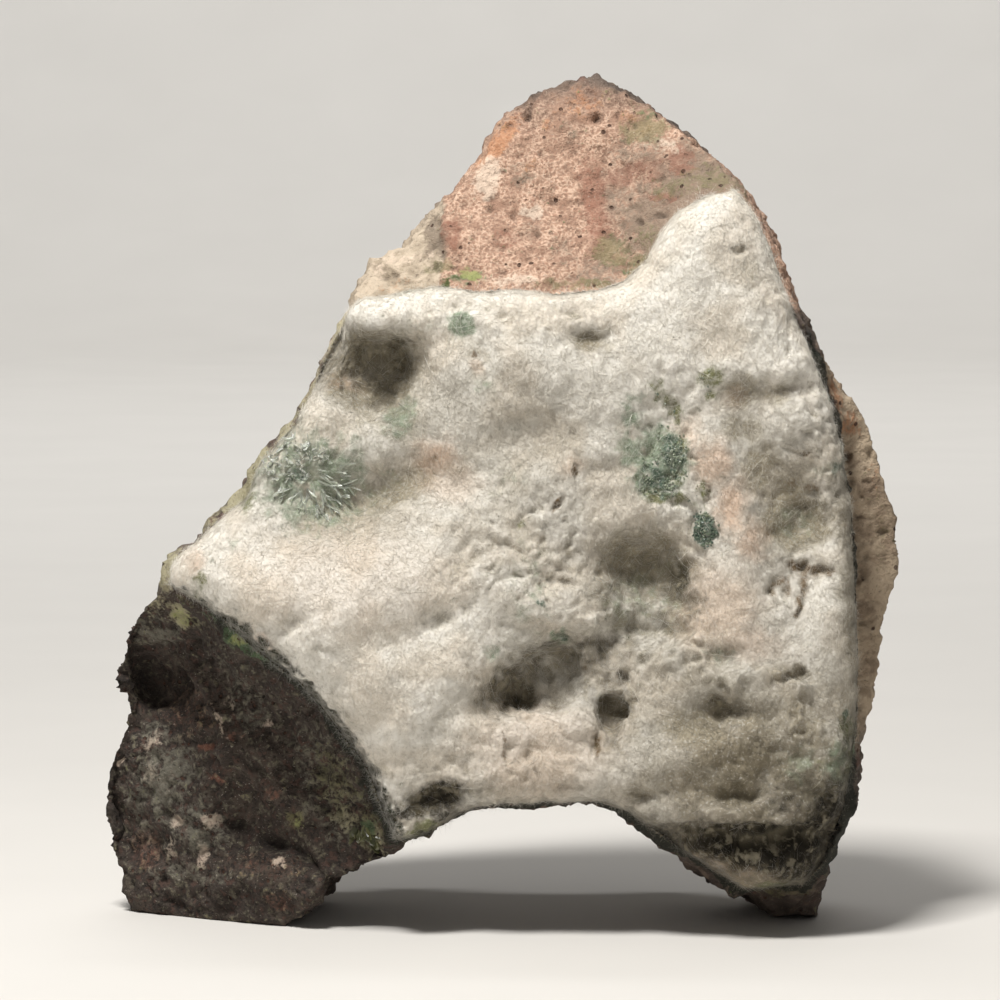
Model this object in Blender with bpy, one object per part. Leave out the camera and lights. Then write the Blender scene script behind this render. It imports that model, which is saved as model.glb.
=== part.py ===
"""Mordenite on basalt: a hand specimen 109 mm tall that stands on two broken feet.

The face with the white mordenite felt looks along -Y. A depth is a distance along +Y, so a
smaller depth is nearer to the viewer. Everything is modelled in millimetres, and the finished
meshes are turned into metres at the end.
"""
import math
import random
from dataclasses import dataclass

import bmesh
import bpy
from mathutils import Matrix, Vector, noise
from mathutils.geometry import delaunay_2d_cdt

MM = 0.001

# Clearances and mesh steps
GAP = 0.42                 # along Y between a crust and what it grows on
WELD_DISTANCE = 0.004      # points that are one corner of the mesh
ROCK_STEP = 2.9            # bare rock faces
SEAT_STEP = 4.3            # rock below the felt
BACK_STEP = 5.0            # back of the rock
FELT_STEP = 2.35           # front of the felt
DRUSE_STEP = 1.05          # front of the green druse
OUTLINE_STEP = 2.9         # along the rock's outline
FELT_EDGE_STEP = 2.5       # along the felt's outline

# Rock: outline seen from the front, clockwise from the peak, as x, z and the depth of the widest rim
PEAK_AND_RIGHT_SLOPE = [
    (8.0, 108.0, 9.0), (12.5, 109.0, 9.5), (16.5, 106.5, 10.5), (20.0, 105.0, 11.0),
    (22.0, 103.0, 10.5), (27.5, 99.0, 9.0), (31.5, 95.0, 6.0), (34.0, 91.0, 3.5),
    (36.3, 86.5, 1.0), (37.5, 82.5, -2.0), (39.5, 77.5, -4.0), (41.3, 73.5, -4.5),
]
RIGHT_LOBE = [
    (43.2, 69.0, -4.5), (45.8, 66.5, -5.0), (47.6, 64.0, -5.0), (48.3, 61.0, -5.0),
    (49.7, 56.5, -5.0), (51.0, 52.5, -4.5), (51.5, 46.0, -4.5), (50.8, 42.5, -5.0),
    (49.4, 37.5, -5.0), (48.4, 31.0, -5.0), (47.8, 27.0, -4.0),
]
RIGHT_FOOT = [
    (46.8, 20.0, 2.0), (45.8, 15.5, -2.0), (44.0, 11.5, -5.0), (42.6, 7.0, -5.5),
    (41.4, 0.0, -1.0), (35.0, 0.0, -1.0), (33.0, 4.4, -12.0),
]
ARCH = [
    (30.3, 4.6, -14.0), (25.5, 7.6, -14.5), (20.0, 11.2, -15.0), (15.8, 14.8, -15.5),
    (12.5, 16.2, -15.5), (7.5, 16.4, -15.5), (0.0, 15.9, -15.5), (-4.0, 15.2, -15.5),
    (-7.7, 13.1, -15.5), (-11.2, 11.5, -15.5), (-14.5, 9.4, -15.0), (-18.5, 7.8, -13.5),
    (-22.0, 5.7, -12.5), (-23.6, 2.6, -11.5),
]
LEFT_FOOT = [
    (-27.5, 0.0, -10.5), (-38.0, 0.0, -5.0), (-48.0, 0.0, 1.5), (-49.8, 5.4, 2.0),
    (-51.2, 14.3, 2.0), (-50.6, 18.8, 1.5), (-47.4, 27.4, 0.0), (-49.0, 30.3, -0.5),
    (-47.8, 36.8, -3.0), (-43.6, 43.5, -8.5),
]
LEFT_EDGE = [
    (-42.2, 47.4, -9.5), (-37.8, 51.6, -9.5), (-33.0, 56.0, -9.0), (-31.8, 59.6, -8.5),
    (-25.6, 65.8, -8.5), (-22.8, 72.6, -8.0), (-19.7, 78.5, -7.0),
]
LEFT_SHOULDER = [
    (-18.6, 81.5, -4.5), (-17.0, 84.7, -2.0), (-12.3, 86.7, 0.5), (-9.2, 89.2, 2.0),
    (-6.2, 93.7, 3.5), (-2.2, 98.9, 5.0), (0.0, 103.0, 6.5), (4.4, 106.3, 8.5),
]
ROCK_OUTLINE = (PEAK_AND_RIGHT_SLOPE + RIGHT_LOBE + RIGHT_FOOT + ARCH + LEFT_FOOT + LEFT_EDGE
                + LEFT_SHOULDER)

# Felt: outline on the rock's front face, clockwise from its upper left corner, as x and z
FELT_OUTLINE = [
    (-17.9, 79.7), (-12.8, 80.8), (-7.7, 81.7), (-2.5, 81.0), (2.5, 81.3), (7.0, 80.7), (12.6, 81.2),
    (16.0, 82.4), (19.0, 85.2), (20.8, 88.6), (22.9, 91.2), (26.4, 93.2), (30.0, 93.8),
    (32.6, 90.0), (34.4, 86.0), (35.8, 81.6), (37.6, 77.2), (39.4, 73.0), (41.0, 69.0),
    (42.9, 62.5), (44.3, 55.0), (44.6, 47.4), (44.9, 40.0), (45.0, 34.0), (45.0, 28.5),
    (44.2, 22.3), (43.0, 15.3), (41.2, 9.8), (38.4, 6.4), (31.2, 6.3), (26.2, 9.4),
    (21.0, 13.0), (16.4, 16.4), (12.6, 17.6), (7.5, 17.8), (0.0, 17.3), (-3.8, 16.6),
    (-7.2, 14.6), (-10.4, 13.1), (-12.9, 12.6), (-14.9, 17.3), (-16.4, 21.6), (-19.7, 26.0),
    (-22.6, 30.0), (-25.3, 32.8), (-31.0, 37.0), (-36.2, 42.1), (-41.4, 44.6), (-41.0, 46.8),
    (-37.0, 50.7), (-31.6, 55.2), (-30.0, 59.6), (-24.8, 65.2), (-22.0, 71.8), (-19.4, 77.0),
]

# Green crystal crusts: outlines on the felt and on the rock
DRUSE_OUTLINE = [
    (15.4, 66.0), (18.2, 67.4), (20.6, 66.0), (21.2, 62.0), (23.2, 58.6), (24.6, 55.6), (27.4, 54.2),
    (28.2, 51.6), (27.0, 49.0), (24.6, 49.2), (23.2, 52.0), (21.4, 53.8), (18.8, 54.4),
    (17.0, 57.6), (16.0, 60.4), (14.4, 63.2),
]
SPRAY_OUTLINE = [
    (-27.5, 59.4), (-25.2, 61.3), (-22.9, 62.6), (-20.6, 61.0), (-18.6, 58.6), (-19.6, 55.4),
    (-22.4, 53.4), (-25.2, 54.0), (-27.4, 55.2), (-28.0, 57.4),
]
NOTCH_OUTLINE = [(-18.6, 13.0), (-16.6, 14.0), (-15.2, 12.6), (-15.4, 10.8), (-17.6, 10.4)]
# Edge where the pink face stands proud of the left shoulder
LEDGE_OUTLINE = [(-7.5, 83.4), (-7.7, 86.8), (-7.4, 89.6), (-6.3, 90.2), (-6.5, 86.8), (-6.4, 83.4)]


@dataclass(frozen=True)
class Form:
    """A soft bulge (rise above 0) or hollow (rise below 0) seen from the front."""

    x: float
    z: float
    half_width: float
    half_height: float
    rise: float
    turn: float = 0.0

    def at(self, x, z):
        """Rise of the form at a point, with turn in degrees from X towards Z."""
        angle = math.radians(self.turn)
        across = ((x - self.x) * math.cos(angle) + (z - self.z) * math.sin(angle)) / self.half_width
        along = ((z - self.z) * math.cos(angle) - (x - self.x) * math.sin(angle)) / self.half_height
        return self.rise * math.exp(-0.8 * (across * across + along * along))


# Broad forms of the cavity wall below the felt
SEAT_FORMS = [
    Form(-15.0, 70.5, 7.0, 6.0, -3.8),
    Form(-14.0, 56.5, 15.0, 5.0, -2.8, 18.0),
    Form(-21.0, 38.5, 15.0, 8.0, 3.0, -36.0),
    Form(-4.0, 34.0, 6.0, 8.0, 1.4, 20.0),
    Form(27.5, 84.0, 7.0, 9.0, 1.4),
    Form(4.0, 71.0, 12.0, 6.0, 1.2),
    Form(38.0, 53.0, 6.0, 10.0, -3.6),
    Form(31.0, 47.0, 4.0, 10.0, 1.2),
    Form(19.5, 45.0, 8.5, 6.5, -4.0),
    Form(6.5, 32.0, 10.0, 6.0, -4.0, 8.0),
    Form(33.0, 24.0, 9.0, 5.0, 1.4),
    Form(-8.0, 18.8, 5.2, 4.6, -2.4),
    Form(31.5, 8.5, 9.0, 4.6, 2.4),
]
# Smaller forms of the felt itself
FELT_FORMS = [
    Form(-15.5, 78.0, 4.0, 2.2, 1.1),
    Form(-13.0, 71.8, 4.0, 3.2, -1.6),
    Form(-4.9, 76.8, 2.6, 2.2, -0.9),
    Form(11.0, 75.8, 4.0, 2.0, -1.0),
    Form(4.5, 77.0, 3.0, 3.5, 0.7),
    Form(30.6, 86.0, 2.4, 2.6, -1.2),
    Form(26.0, 89.0, 3.0, 3.0, 0.6),
    Form(31.5, 64.5, 2.6, 5.0, -1.2),
    Form(36.5, 70.0, 2.4, 6.0, 0.9, 15.0),
    Form(-26.4, 40.0, 2.2, 1.6, -1.0),
    Form(-7.7, 40.2, 2.2, 1.8, -1.0),
    Form(-7.4, 28.8, 1.8, 4.0, -1.1, -30.0),
    Form(-12.0, 46.0, 8.0, 4.0, 0.8, 20.0),
    Form(2.5, 30.6, 3.4, 2.6, -1.6),
    Form(9.8, 29.0, 2.0, 2.6, 1.3),
    Form(14.2, 28.6, 1.7, 2.2, -2.0),
    Form(18.4, 43.6, 3.6, 2.6, -1.2),
    Form(11.5, 38.5, 4.0, 2.0, 1.0, 20.0),
    Form(28.4, 29.0, 3.4, 1.6, -1.6),
    Form(37.4, 33.4, 2.4, 1.6, -1.1),
    Form(34.4, 31.8, 5.0, 1.6, 1.2, -22.0),
    Form(39.6, 27.0, 4.6, 1.6, 1.2, 50.0),
    Form(39.0, 45.2, 3.2, 1.3, -1.4),
    Form(36.0, 42.6, 2.4, 1.6, 0.8),
    Form(20.2, 59.0, 5.0, 9.0, -2.2, 10.0),
    Form(25.8, 51.8, 2.6, 3.4, -1.1),
    Form(-24.0, 58.6, 6.0, 5.0, -1.3),
    Form(33.0, 15.6, 7.0, 1.8, 1.4),
    Form(27.0, 17.0, 2.6, 2.0, 0.7),
]
FELT_THICKNESS = 3.3
FELT_THINNEST = 0.8
FELT_EDGE_RADIUS = 3.4
# Lumps and pits of the bare rock
ROCK_FORMS = [
    Form(-44.5, 30.2, 3.6, 2.6, -4.6),
    Form(-44.0, 35.2, 4.0, 1.6, 1.4, 10.0),
    Form(-37.0, 27.0, 2.4, 8.0, 1.6, 20.0),
    Form(-28.0, 10.6, 8.0, 1.8, -2.0, -16.0),
    Form(-43.5, 17.0, 3.4, 7.0, 1.0),
    Form(-24.0, 18.0, 4.0, 6.0, -1.0, 20.0),
    Form(0.5, 97.0, 4.0, 4.0, 0.8),
    Form(9.0, 103.5, 5.0, 3.0, 0.8),
    Form(14.0, 92.0, 8.0, 6.0, -0.9),
    Form(21.5, 100.0, 4.0, 4.0, 0.8, -40.0),
    Form(-11.5, 84.0, 2.6, 1.2, 0.8, 20.0),
]


def along_loop(corners, step):
    """Points on a closed outline, at most about one step apart, that keep its corners."""
    points = []
    for start, end in zip(corners, corners[1:] + corners[:1]):
        start, end = Vector(start), Vector(end)
        pieces = max(1, round((end.xy - start.xy).length / step))
        points += [start.lerp(end, piece / pieces) for piece in range(pieces)]
    return points


def offset_loop(points, distance):
    """Clockwise outline moved outwards, or inwards where the distance is below 0."""
    moved = []
    for before, here, after in zip(points[-1:] + points[:-1], points, points[1:] + points[:1]):
        tangent = ((here - before).normalized() + (after - here).normalized()).normalized()
        moved.append(here + Vector((-tangent.y, tangent.x)) * distance)
    return moved


def inside(point, loop):
    """Whether a point lies inside a closed outline."""
    crossings = False
    for a, b in zip(loop, loop[1:] + loop[:1]):
        if (a.y > point.y) != (b.y > point.y):
            if point.x < a.x + (b.x - a.x) * (point.y - a.y) / (b.y - a.y):
                crossings = not crossings
    return crossings


def distance_to(point, loop):
    """Distance from a point to a closed outline."""
    nearest = math.inf
    for a, b in zip(loop, loop[1:] + loop[:1]):
        edge = b - a
        share = max(0.0, min(1.0, (point - a).dot(edge) / edge.length_squared))
        nearest = min(nearest, (point - a - edge * share).length)
    return nearest


def soft_step(value, low, high):
    """0 below low and 1 above high, with a smooth rise between."""
    share = max(0.0, min(1.0, (value - low) / (high - low)))
    return share * share * (3.0 - 2.0 * share)


def ripple(x, z, size, height, seed):
    """Smooth unevenness of the given height, in patches of the given size."""
    return height * noise.noise(Vector((x / size, z / size, seed)))


FELT_EDGE = [point.xy for point in along_loop(FELT_OUTLINE, FELT_EDGE_STEP)]


def seat_depth(x, z):
    """Depth of the cavity wall that the felt grows on."""
    lean_back = -19.4 + 0.138 * max(0.0, z - 13.0)
    undercut = 0.55 * max(0.0, 15.0 - z) * soft_step(x, 14.0, 24.0)
    return lean_back + undercut - sum(form.at(x, z) for form in SEAT_FORMS)


def block_depth(x, z):
    """Depth of the lower left fracture: two facets that meet in a ridge, over a lip at the foot."""
    right_facet = -12.6 - 0.28 * (x + 20.0) + 0.06 * (z - 22.0)
    left_facet = -8.6 - 0.66 * (x + 33.0) - 0.05 * (z - 20.0)
    lip = -11.4 + 1.7 * max(0.0, z - 6.6) - 0.58 * (x + 27.5)
    return min(max(right_facet, left_facet), lip)


def bare_rock_depth(x, z, away):
    """Depth of the bare rock in front, at a distance away from the felt's edge."""
    bank = seat_depth(x, z) + 0.9 * away
    if z > 76.0:
        ledge = 2.6 * soft_step(-x, 6.2, 7.4) + 0.25 * max(0.0, -7.0 - x)
        face = -9.9 + 0.64 * (z - 80.5) + ledge
    elif x < -10.0 and z < 46.0:
        bank = seat_depth(x, z) + 1.6 * away
        face = block_depth(x, z)
    else:
        face = bank
    rough = ripple(x, z, 9.0, 1.1, 3.0) + ripple(x, z, 3.6, 0.7, 8.0)
    fade = soft_step(away, 0.2, 2.0)
    return min(face, bank) + fade * (rough - sum(form.at(x, z) for form in ROCK_FORMS))


def rock_front_depth(point):
    """Depth of the rock's whole front face."""
    away = 0.0 if inside(point, FELT_EDGE) else distance_to(point, FELT_EDGE)
    if away < 0.01:
        return seat_depth(point.x, point.y)
    return bare_rock_depth(point.x, point.y, away)


def rock_back_depth(point):
    """Depth of the rock's back, which broke along a few large facets."""
    x, z = point.x, point.y
    facets = (
        25.6 - 0.07 * x - 0.03 * z,
        27.5 - 0.235 * (z - 48.0) + 0.05 * x,
        23.0 - 0.62 * (x - 24.0) - 0.04 * (z - 40.0),
        22.5 + 0.42 * (x + 24.0) + 0.06 * (z - 30.0),
        22.0 + 0.55 * (z - 9.0) - 0.10 * x,
    )
    return min(facets) + ripple(x, z, 14.0, 2.6, 21.0) + ripple(x, z, 6.0, 1.2, 27.0)


def felt_depth(point):
    """Depth of the felt's front, which rounds off towards its edge."""
    x, z = point.x, point.y
    inwards = min(1.0, distance_to(point, FELT_EDGE) / FELT_EDGE_RADIUS)
    rounding = math.sqrt(1.0 - (1.0 - inwards) ** 2)
    crumbly = math.exp(-((x - 5.0) / 8.0) ** 2 - ((z - 46.0) / 10.0) ** 2)
    forms = sum(form.at(x, z) for form in FELT_FORMS)
    uneven = ripple(x, z, 7.0, 0.9, 40.0) + ripple(x, z, 3.2, 0.5 + 0.9 * crumbly, 44.0)
    thickness = max(FELT_THINNEST, (FELT_THICKNESS + forms + uneven) * rounding)
    return seat_depth(x, z) - GAP - thickness


class Sheet:
    """Triangles over an outline seen from the front, with patches whose edges it follows."""

    def __init__(self, loop, step, seed, patches=(), margin=0.55):
        """patches holds pairs of a closed loop and the mesh step inside it."""
        self.rng = random.Random(seed)
        self.margin = margin
        loops = [loop] + [patch for patch, _ in patches]
        points = [point for each in loops for point in each]
        edges = []
        start = 0
        for each in loops:
            count = len(each)
            edges += [(start + i, start + (i + 1) % count) for i in range(count)]
            start += count
        for each, spacing, holes in self.regions(loop, step, patches):
            points += self.scatter(each, spacing, holes)
        found = delaunay_2d_cdt(points, edges, [], 1, 1e-5)
        self.points, self.triangles = found[0], found[2]
        self.loop = loop

    @staticmethod
    def regions(loop, step, patches):
        """Each area with its mesh step and the patches that lie directly or deeper in it."""
        areas = [(loop, step, [patch for patch, _ in patches])]
        for number, (patch, spacing) in enumerate(patches):
            deeper = [other for other, _ in patches[number + 1:] if inside(other[0], patch)]
            areas.append((patch, spacing, deeper))
        return areas

    def scatter(self, loop, spacing, holes):
        """Points of an uneven triangular grid inside a loop, clear of its edge and its holes."""
        rows = []
        low = Vector((min(p.x for p in loop), min(p.y for p in loop)))
        high = Vector((max(p.x for p in loop), max(p.y for p in loop)))
        row_height = spacing * math.sqrt(0.75)
        for row in range(int((high.y - low.y) / row_height) + 1):
            for column in range(int((high.x - low.x) / spacing) + 2):
                wander = Vector((self.rng.uniform(-0.28, 0.28), self.rng.uniform(-0.28, 0.28)))
                place = Vector((low.x + (column + 0.5 * (row % 2)) * spacing, low.y + row * row_height))
                point = place + wander * spacing
                clear = inside(point, loop) and distance_to(point, loop) > self.margin * spacing
                for hole in holes:
                    near_hole = distance_to(point, hole) < self.margin * spacing
                    clear = clear and not inside(point, hole) and not near_hole
                if clear:
                    rows.append(point)
        return rows

    def triangles_inside(self, loop):
        """Triangles that lie inside one of the patches."""
        chosen = []
        for triangle in self.triangles:
            middle = sum((self.points[i] for i in triangle), Vector((0.0, 0.0))) / 3.0
            if inside(middle, loop):
                chosen.append(triangle)
        return chosen


class Solid:
    """A closed body put together from sheets and the walls between their edges."""

    def __init__(self, name):
        self.name = name
        self.vertices = []
        self.faces = []

    def add_loop(self, points, depths):
        """Add a ring of vertices and return their numbers."""
        start = len(self.vertices)
        self.vertices += [Vector((p.x, depth, p.y)) for p, depth in zip(points, depths)]
        return list(range(start, len(self.vertices)))

    def add_wall(self, front, back):
        """Join two clockwise rings with triangles, split along the shorter diagonal."""
        count = len(front)
        for i in range(count):
            a, b = front[i], front[(i + 1) % count]
            c, d = back[(i + 1) % count], back[i]
            ac = (self.vertices[a] - self.vertices[c]).length
            bd = (self.vertices[b] - self.vertices[d]).length
            if ac < bd:
                self.faces += [(a, b, c), (a, c, d)]
            else:
                self.faces += [(a, b, d), (b, c, d)]

    def add_sheet(self, points, triangles, depth_of, facing_viewer):
        """Add a sheet's triangles; its outer vertices are welded to the ring they lie on."""
        used = sorted({i for triangle in triangles for i in triangle})
        number = {}
        for i in used:
            number[i] = len(self.vertices)
            self.vertices.append(Vector((points[i].x, depth_of(points[i]), points[i].y)))
        for triangle in triangles:
            a, b, c = (points[i] for i in triangle)
            counter_clockwise = (b - a).cross(c - a) > 0.0
            ordered = triangle if counter_clockwise == facing_viewer else triangle[::-1]
            self.faces.append(tuple(number[i] for i in ordered))

    def build(self, material):
        """Weld the sheets to the walls and make the object."""
        mesh = bpy.data.meshes.new(self.name)
        mesh.from_pydata(self.vertices, [], self.faces)
        body = bmesh.new()
        body.from_mesh(mesh)
        bmesh.ops.remove_doubles(body, verts=body.verts, dist=WELD_DISTANCE)
        bmesh.ops.recalc_face_normals(body, faces=body.faces)
        body.to_mesh(mesh)
        body.free()
        mesh.materials.append(material)
        thing = bpy.data.objects.new(self.name, mesh)
        bpy.context.collection.objects.link(thing)
        return thing


def make_material(name, color, roughness, transmission=0.0):
    """A Principled material without a texture."""
    material = bpy.data.materials.new(name)
    material.use_nodes = True
    shader = material.node_tree.nodes["Principled BSDF"]
    shader.inputs["Base Color"].default_value = (*color, 1.0)
    shader.inputs["Roughness"].default_value = roughness
    shader.inputs["Metallic"].default_value = 0.0
    shader.inputs["Transmission Weight"].default_value = transmission
    return material


# Rock
ROCK_CENTRE = Vector((3.0, 50.0))
FRONT_RIM_INSET = 0.75
LOBE_SET_IN = 5.2
FELT_MARGIN = 0.45
FLANK_SCALE = 0.985
WAIST_SCALE = 0.955
BACK_SCALE = 0.86
FOOT_BACK_DEPTH = 17.0
FOOT_HEIGHT = 13.0
HACKLE = 2.0
# Broken facets of the back and sides: a point on each and the way it faces
FACETS = [
    ((-33.0, 14.0, 48.0), (-0.72, 0.45, 0.50)),
    ((43.0, 14.0, 62.0), (0.86, 0.38, 0.30)),
    ((10.0, 19.5, 84.0), (0.10, 0.92, 0.36)),
    ((30.0, 22.0, 22.0), (0.45, 0.82, -0.30)),
    ((-34.0, 21.0, 12.0), (-0.30, 0.88, -0.36)),
    ((-8.0, 12.5, 96.0), (-0.75, 0.50, 0.42)),
]


def lobe_share(x, z):
    """How far a rim point belongs to the lobe that stands out on the right, behind the felt."""
    if x < 40.0:
        return 0.0
    return soft_step(z, 18.0, 32.0) * (1.0 - soft_step(z, 62.0, 71.0))


def softened(points, reach):
    """A loop whose points are averaged with their neighbours within reach."""
    count = len(points)
    soft = []
    for i in range(count):
        near = [points[(i + step) % count] for step in range(-reach, reach + 1)]
        soft.append(sum(near, Vector((0.0, 0.0))) / len(near))
    return soft


def scaled(point, scale):
    """A point of an outline drawn in towards the middle of the rock."""
    return ROCK_CENTRE + (point - ROCK_CENTRE) * scale


def hackly(point, depth, amount, seed):
    """A rim point and its depth moved by the rock's uneven break."""
    place = Vector((point.x / 9.0, depth / 9.0 + seed, point.y / 9.0))
    shift = noise.noise_vector(place) * amount
    moved = point + Vector((shift.x, shift.z))
    moved.y = max(0.5, moved.y)
    return moved, depth + shift.y


def rock_rings():
    """Closed rings of (points, depths) from the front rim round the sides to the back."""
    rim = along_loop(ROCK_OUTLINE, OUTLINE_STEP)
    outline = [point.xy for point in rim]
    depths = [point.z for point in rim]
    inner = offset_loop(outline, -1.0)
    flanks = softened(outline, 1)
    waists = softened(outline, 3)
    backs = softened(outline, 4)
    rings = [([], []) for _ in range(6)]
    for number, (point, depth) in enumerate(zip(outline, depths)):
        inwards = inner[number] - point
        lobe = lobe_share(point.x, point.y)
        room = distance_to(point, FELT_EDGE) - FELT_MARGIN
        inset = min(FRONT_RIM_INSET + LOBE_SET_IN * lobe, room)
        front = point + inwards * inset
        front_depth = rock_front_depth(front)
        shelf = point + inwards * inset * (0.4 + 0.62 * lobe)
        shelf_depth = front_depth + (depth - front_depth) * (0.5 + 0.36 * lobe)
        back = scaled(backs[number], BACK_SCALE + ripple(point.x, point.y, 11.0, 0.05, 60.0))
        back_depth = rock_back_depth(back)
        if point.y < 0.01:
            flank, flank_depth = Vector((point.x, 0.0)), depth + 0.3 * (FOOT_BACK_DEPTH - depth)
            waist, waist_depth = Vector((waists[number].x, 0.0)), FOOT_BACK_DEPTH
        else:
            flank_depth = depth + 0.28 * (back_depth - depth)
            flank, flank_depth = hackly(scaled(flanks[number], FLANK_SCALE), flank_depth, HACKLE, 4.0)
            waist_depth = depth + 0.66 * (back_depth - depth)
            waist, waist_depth = hackly(scaled(waists[number], WAIST_SCALE), waist_depth, HACKLE, 9.0)
            sunk = 1.0 - soft_step(point.y, 0.0, FOOT_HEIGHT)
            flank.y = max(0.6, flank.y - 1.5 * sunk)
            waist.y = max(0.8, waist.y - 6.0 * sunk)
        places = (front, shelf, point, flank, waist, back)
        levels = (front_depth, shelf_depth, depth, flank_depth, waist_depth, back_depth)
        for ring, place, level in zip(rings, places, levels):
            ring[0].append(place)
            ring[1].append(level)
    return rings


def break_off(thing, place, facing):
    """Cut a flat broken facet off the object, and close it with one face."""
    body = bmesh.new()
    body.from_mesh(thing.data)
    everything = body.verts[:] + body.edges[:] + body.faces[:]
    cut = bmesh.ops.bisect_plane(body, geom=everything, dist=1e-5, plane_co=place, plane_no=facing,
                                 clear_outer=True)
    edges = [item for item in cut["geom_cut"] if isinstance(item, bmesh.types.BMEdge)]
    bmesh.ops.contextual_create(body, geom=edges)
    bmesh.ops.recalc_face_normals(body, faces=body.faces)
    body.to_mesh(thing.data)
    body.free()


def make_rock(material):
    """Front face, rims that step back past the lobe, and a broken back."""
    rings = rock_rings()
    solid = Solid("basalt_matrix")
    numbers = [solid.add_loop(points, levels) for points, levels in rings]
    for nearer, further in zip(numbers, numbers[1:]):
        solid.add_wall(nearer, further)
    front_rim, back_rim = rings[0][0], rings[-1][0]
    notch = [point.xy for point in along_loop(NOTCH_OUTLINE, 1.6)]
    ledge = [point.xy for point in along_loop(LEDGE_OUTLINE, 2.0)]
    face = Sheet(front_rim, ROCK_STEP, 5, [(FELT_EDGE, SEAT_STEP), (notch, 1.6), (ledge, 2.0)])
    solid.add_sheet(face.points, face.triangles, rock_front_depth, True)
    back = Sheet(back_rim, BACK_STEP, 9)
    solid.add_sheet(back.points, back.triangles, rock_back_depth, False)
    rock = solid.build(material)
    for place, facing in FACETS:
        break_off(rock, place, facing)
    return face, notch


def make_crust(name, material, host, host_depth, edge, sheet, depth_of, rim_out, rim_rise):
    """A crust on part of a host sheet: its underside repeats the host, one gap nearer."""
    solid = Solid(name)
    under_depths = [host_depth(point) - GAP for point in edge]
    under_ring = solid.add_loop(edge, under_depths)
    rim = offset_loop(edge, rim_out)
    rim_ring = solid.add_loop(rim, [depth - rim_rise for depth in under_depths])
    front_ring = solid.add_loop(sheet.loop, [depth_of(point) for point in sheet.loop])
    solid.add_wall(front_ring, rim_ring)
    solid.add_wall(rim_ring, under_ring)
    solid.add_sheet(sheet.points, sheet.triangles, depth_of, True)
    solid.add_sheet(host.points, host.triangles_inside(edge), lambda p: host_depth(p) - GAP, False)
    return solid.build(material)


# Felt
FELT_RIM_OUT = 0.35
FELT_RIM_RISE = 0.9
FELT_FRONT_INSET = 0.6


def make_felt(material, rock_face):
    """White mat over the whole cavity wall."""
    druse = [point.xy for point in along_loop(DRUSE_OUTLINE, 1.7)]
    spray = [point.xy for point in along_loop(SPRAY_OUTLINE, 1.9)]
    front_edge = offset_loop(FELT_EDGE, -FELT_FRONT_INSET)
    sheet = Sheet(front_edge, FELT_STEP, 13, [(druse, 2.0), (spray, 2.0)])
    make_crust("mordenite_mat", material, rock_face, rock_front_depth, FELT_EDGE, sheet,
               felt_depth, FELT_RIM_OUT, FELT_RIM_RISE)
    return sheet, druse, spray


# Green crystals
DRUSE_THICKNESS = 0.5
DRUSE_RELIEF = 0.6
DRUSE_KNOB = Form(25.9, 51.5, 1.5, 1.9, 1.7)
CRUST_RIM_RISE = 0.3


def make_druse(material, felt, edge):
    """Crust of small green crystals whose tips make facets about a millimetre wide."""
    rng = random.Random(77)
    front_edge = offset_loop(edge, -0.45)
    sheet = Sheet(front_edge, DRUSE_STEP, 19)
    tips = {tuple(point): rng.uniform(0.0, 1.0) for point in sheet.points}

    def druse_depth(point):
        inwards = min(1.0, distance_to(point, edge) / 1.6)
        tip = tips.get(tuple(point), 0.5)
        rise = DRUSE_THICKNESS * inwards + DRUSE_RELIEF * tip + DRUSE_KNOB.at(point.x, point.y)
        return felt_depth(point) - GAP - rise

    make_crust("green_crystal_druse", material, felt, felt_depth, edge, sheet, druse_depth,
               0.0, CRUST_RIM_RISE)


def add_blade(root, tip, width, thickness, roll):
    """A flat glassy blade with a chisel point, from its root to its tip."""
    blade = bmesh.new()
    axis = tip - root
    length = axis.length
    half_width, half_thickness = 0.5 * width, 0.5 * thickness
    rings = []
    for share, scale in ((0.0, 0.72), (0.76, 1.0)):
        corners = ((-half_width, 0.0), (0.0, -half_thickness), (half_width, 0.0), (0.0, half_thickness))
        rings.append([blade.verts.new((x * scale, y * scale, share * length)) for x, y in corners])
    point = blade.verts.new((0.12 * width, 0.0, length))
    for i in range(4):
        after = (i + 1) % 4
        blade.faces.new((rings[0][i], rings[0][after], rings[1][after], rings[1][i]))
        blade.faces.new((rings[1][i], rings[1][after], point))
    blade.faces.new(rings[0][::-1])
    bmesh.ops.recalc_face_normals(blade, faces=blade.faces)
    turn = axis.to_track_quat("Z", "Y").to_matrix().to_4x4()
    place = Matrix.Translation(root) @ turn @ Matrix.Rotation(roll, 4, "Z")
    bmesh.ops.transform(blade, matrix=place, verts=blade.verts)
    mesh = bpy.data.meshes.new("blade")
    blade.to_mesh(mesh)
    blade.free()
    thing = bpy.data.objects.new("blade", mesh)
    bpy.context.collection.objects.link(thing)
    return thing


def fuse(crust, blades):
    """Grow the blades into their crust, as one solid."""
    for blade in blades:
        union = crust.modifiers.new("grown_on", "BOOLEAN")
        union.operation = "UNION"
        union.solver = "EXACT"
        union.object = blade
        bpy.context.view_layer.update()
        evaluated = crust.evaluated_get(bpy.context.evaluated_depsgraph_get())
        grown = bpy.data.meshes.new_from_object(evaluated)
        crust.modifiers.clear()
        crust.data = grown
        bpy.data.objects.remove(blade)
    drop_enclosed(crust)


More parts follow.
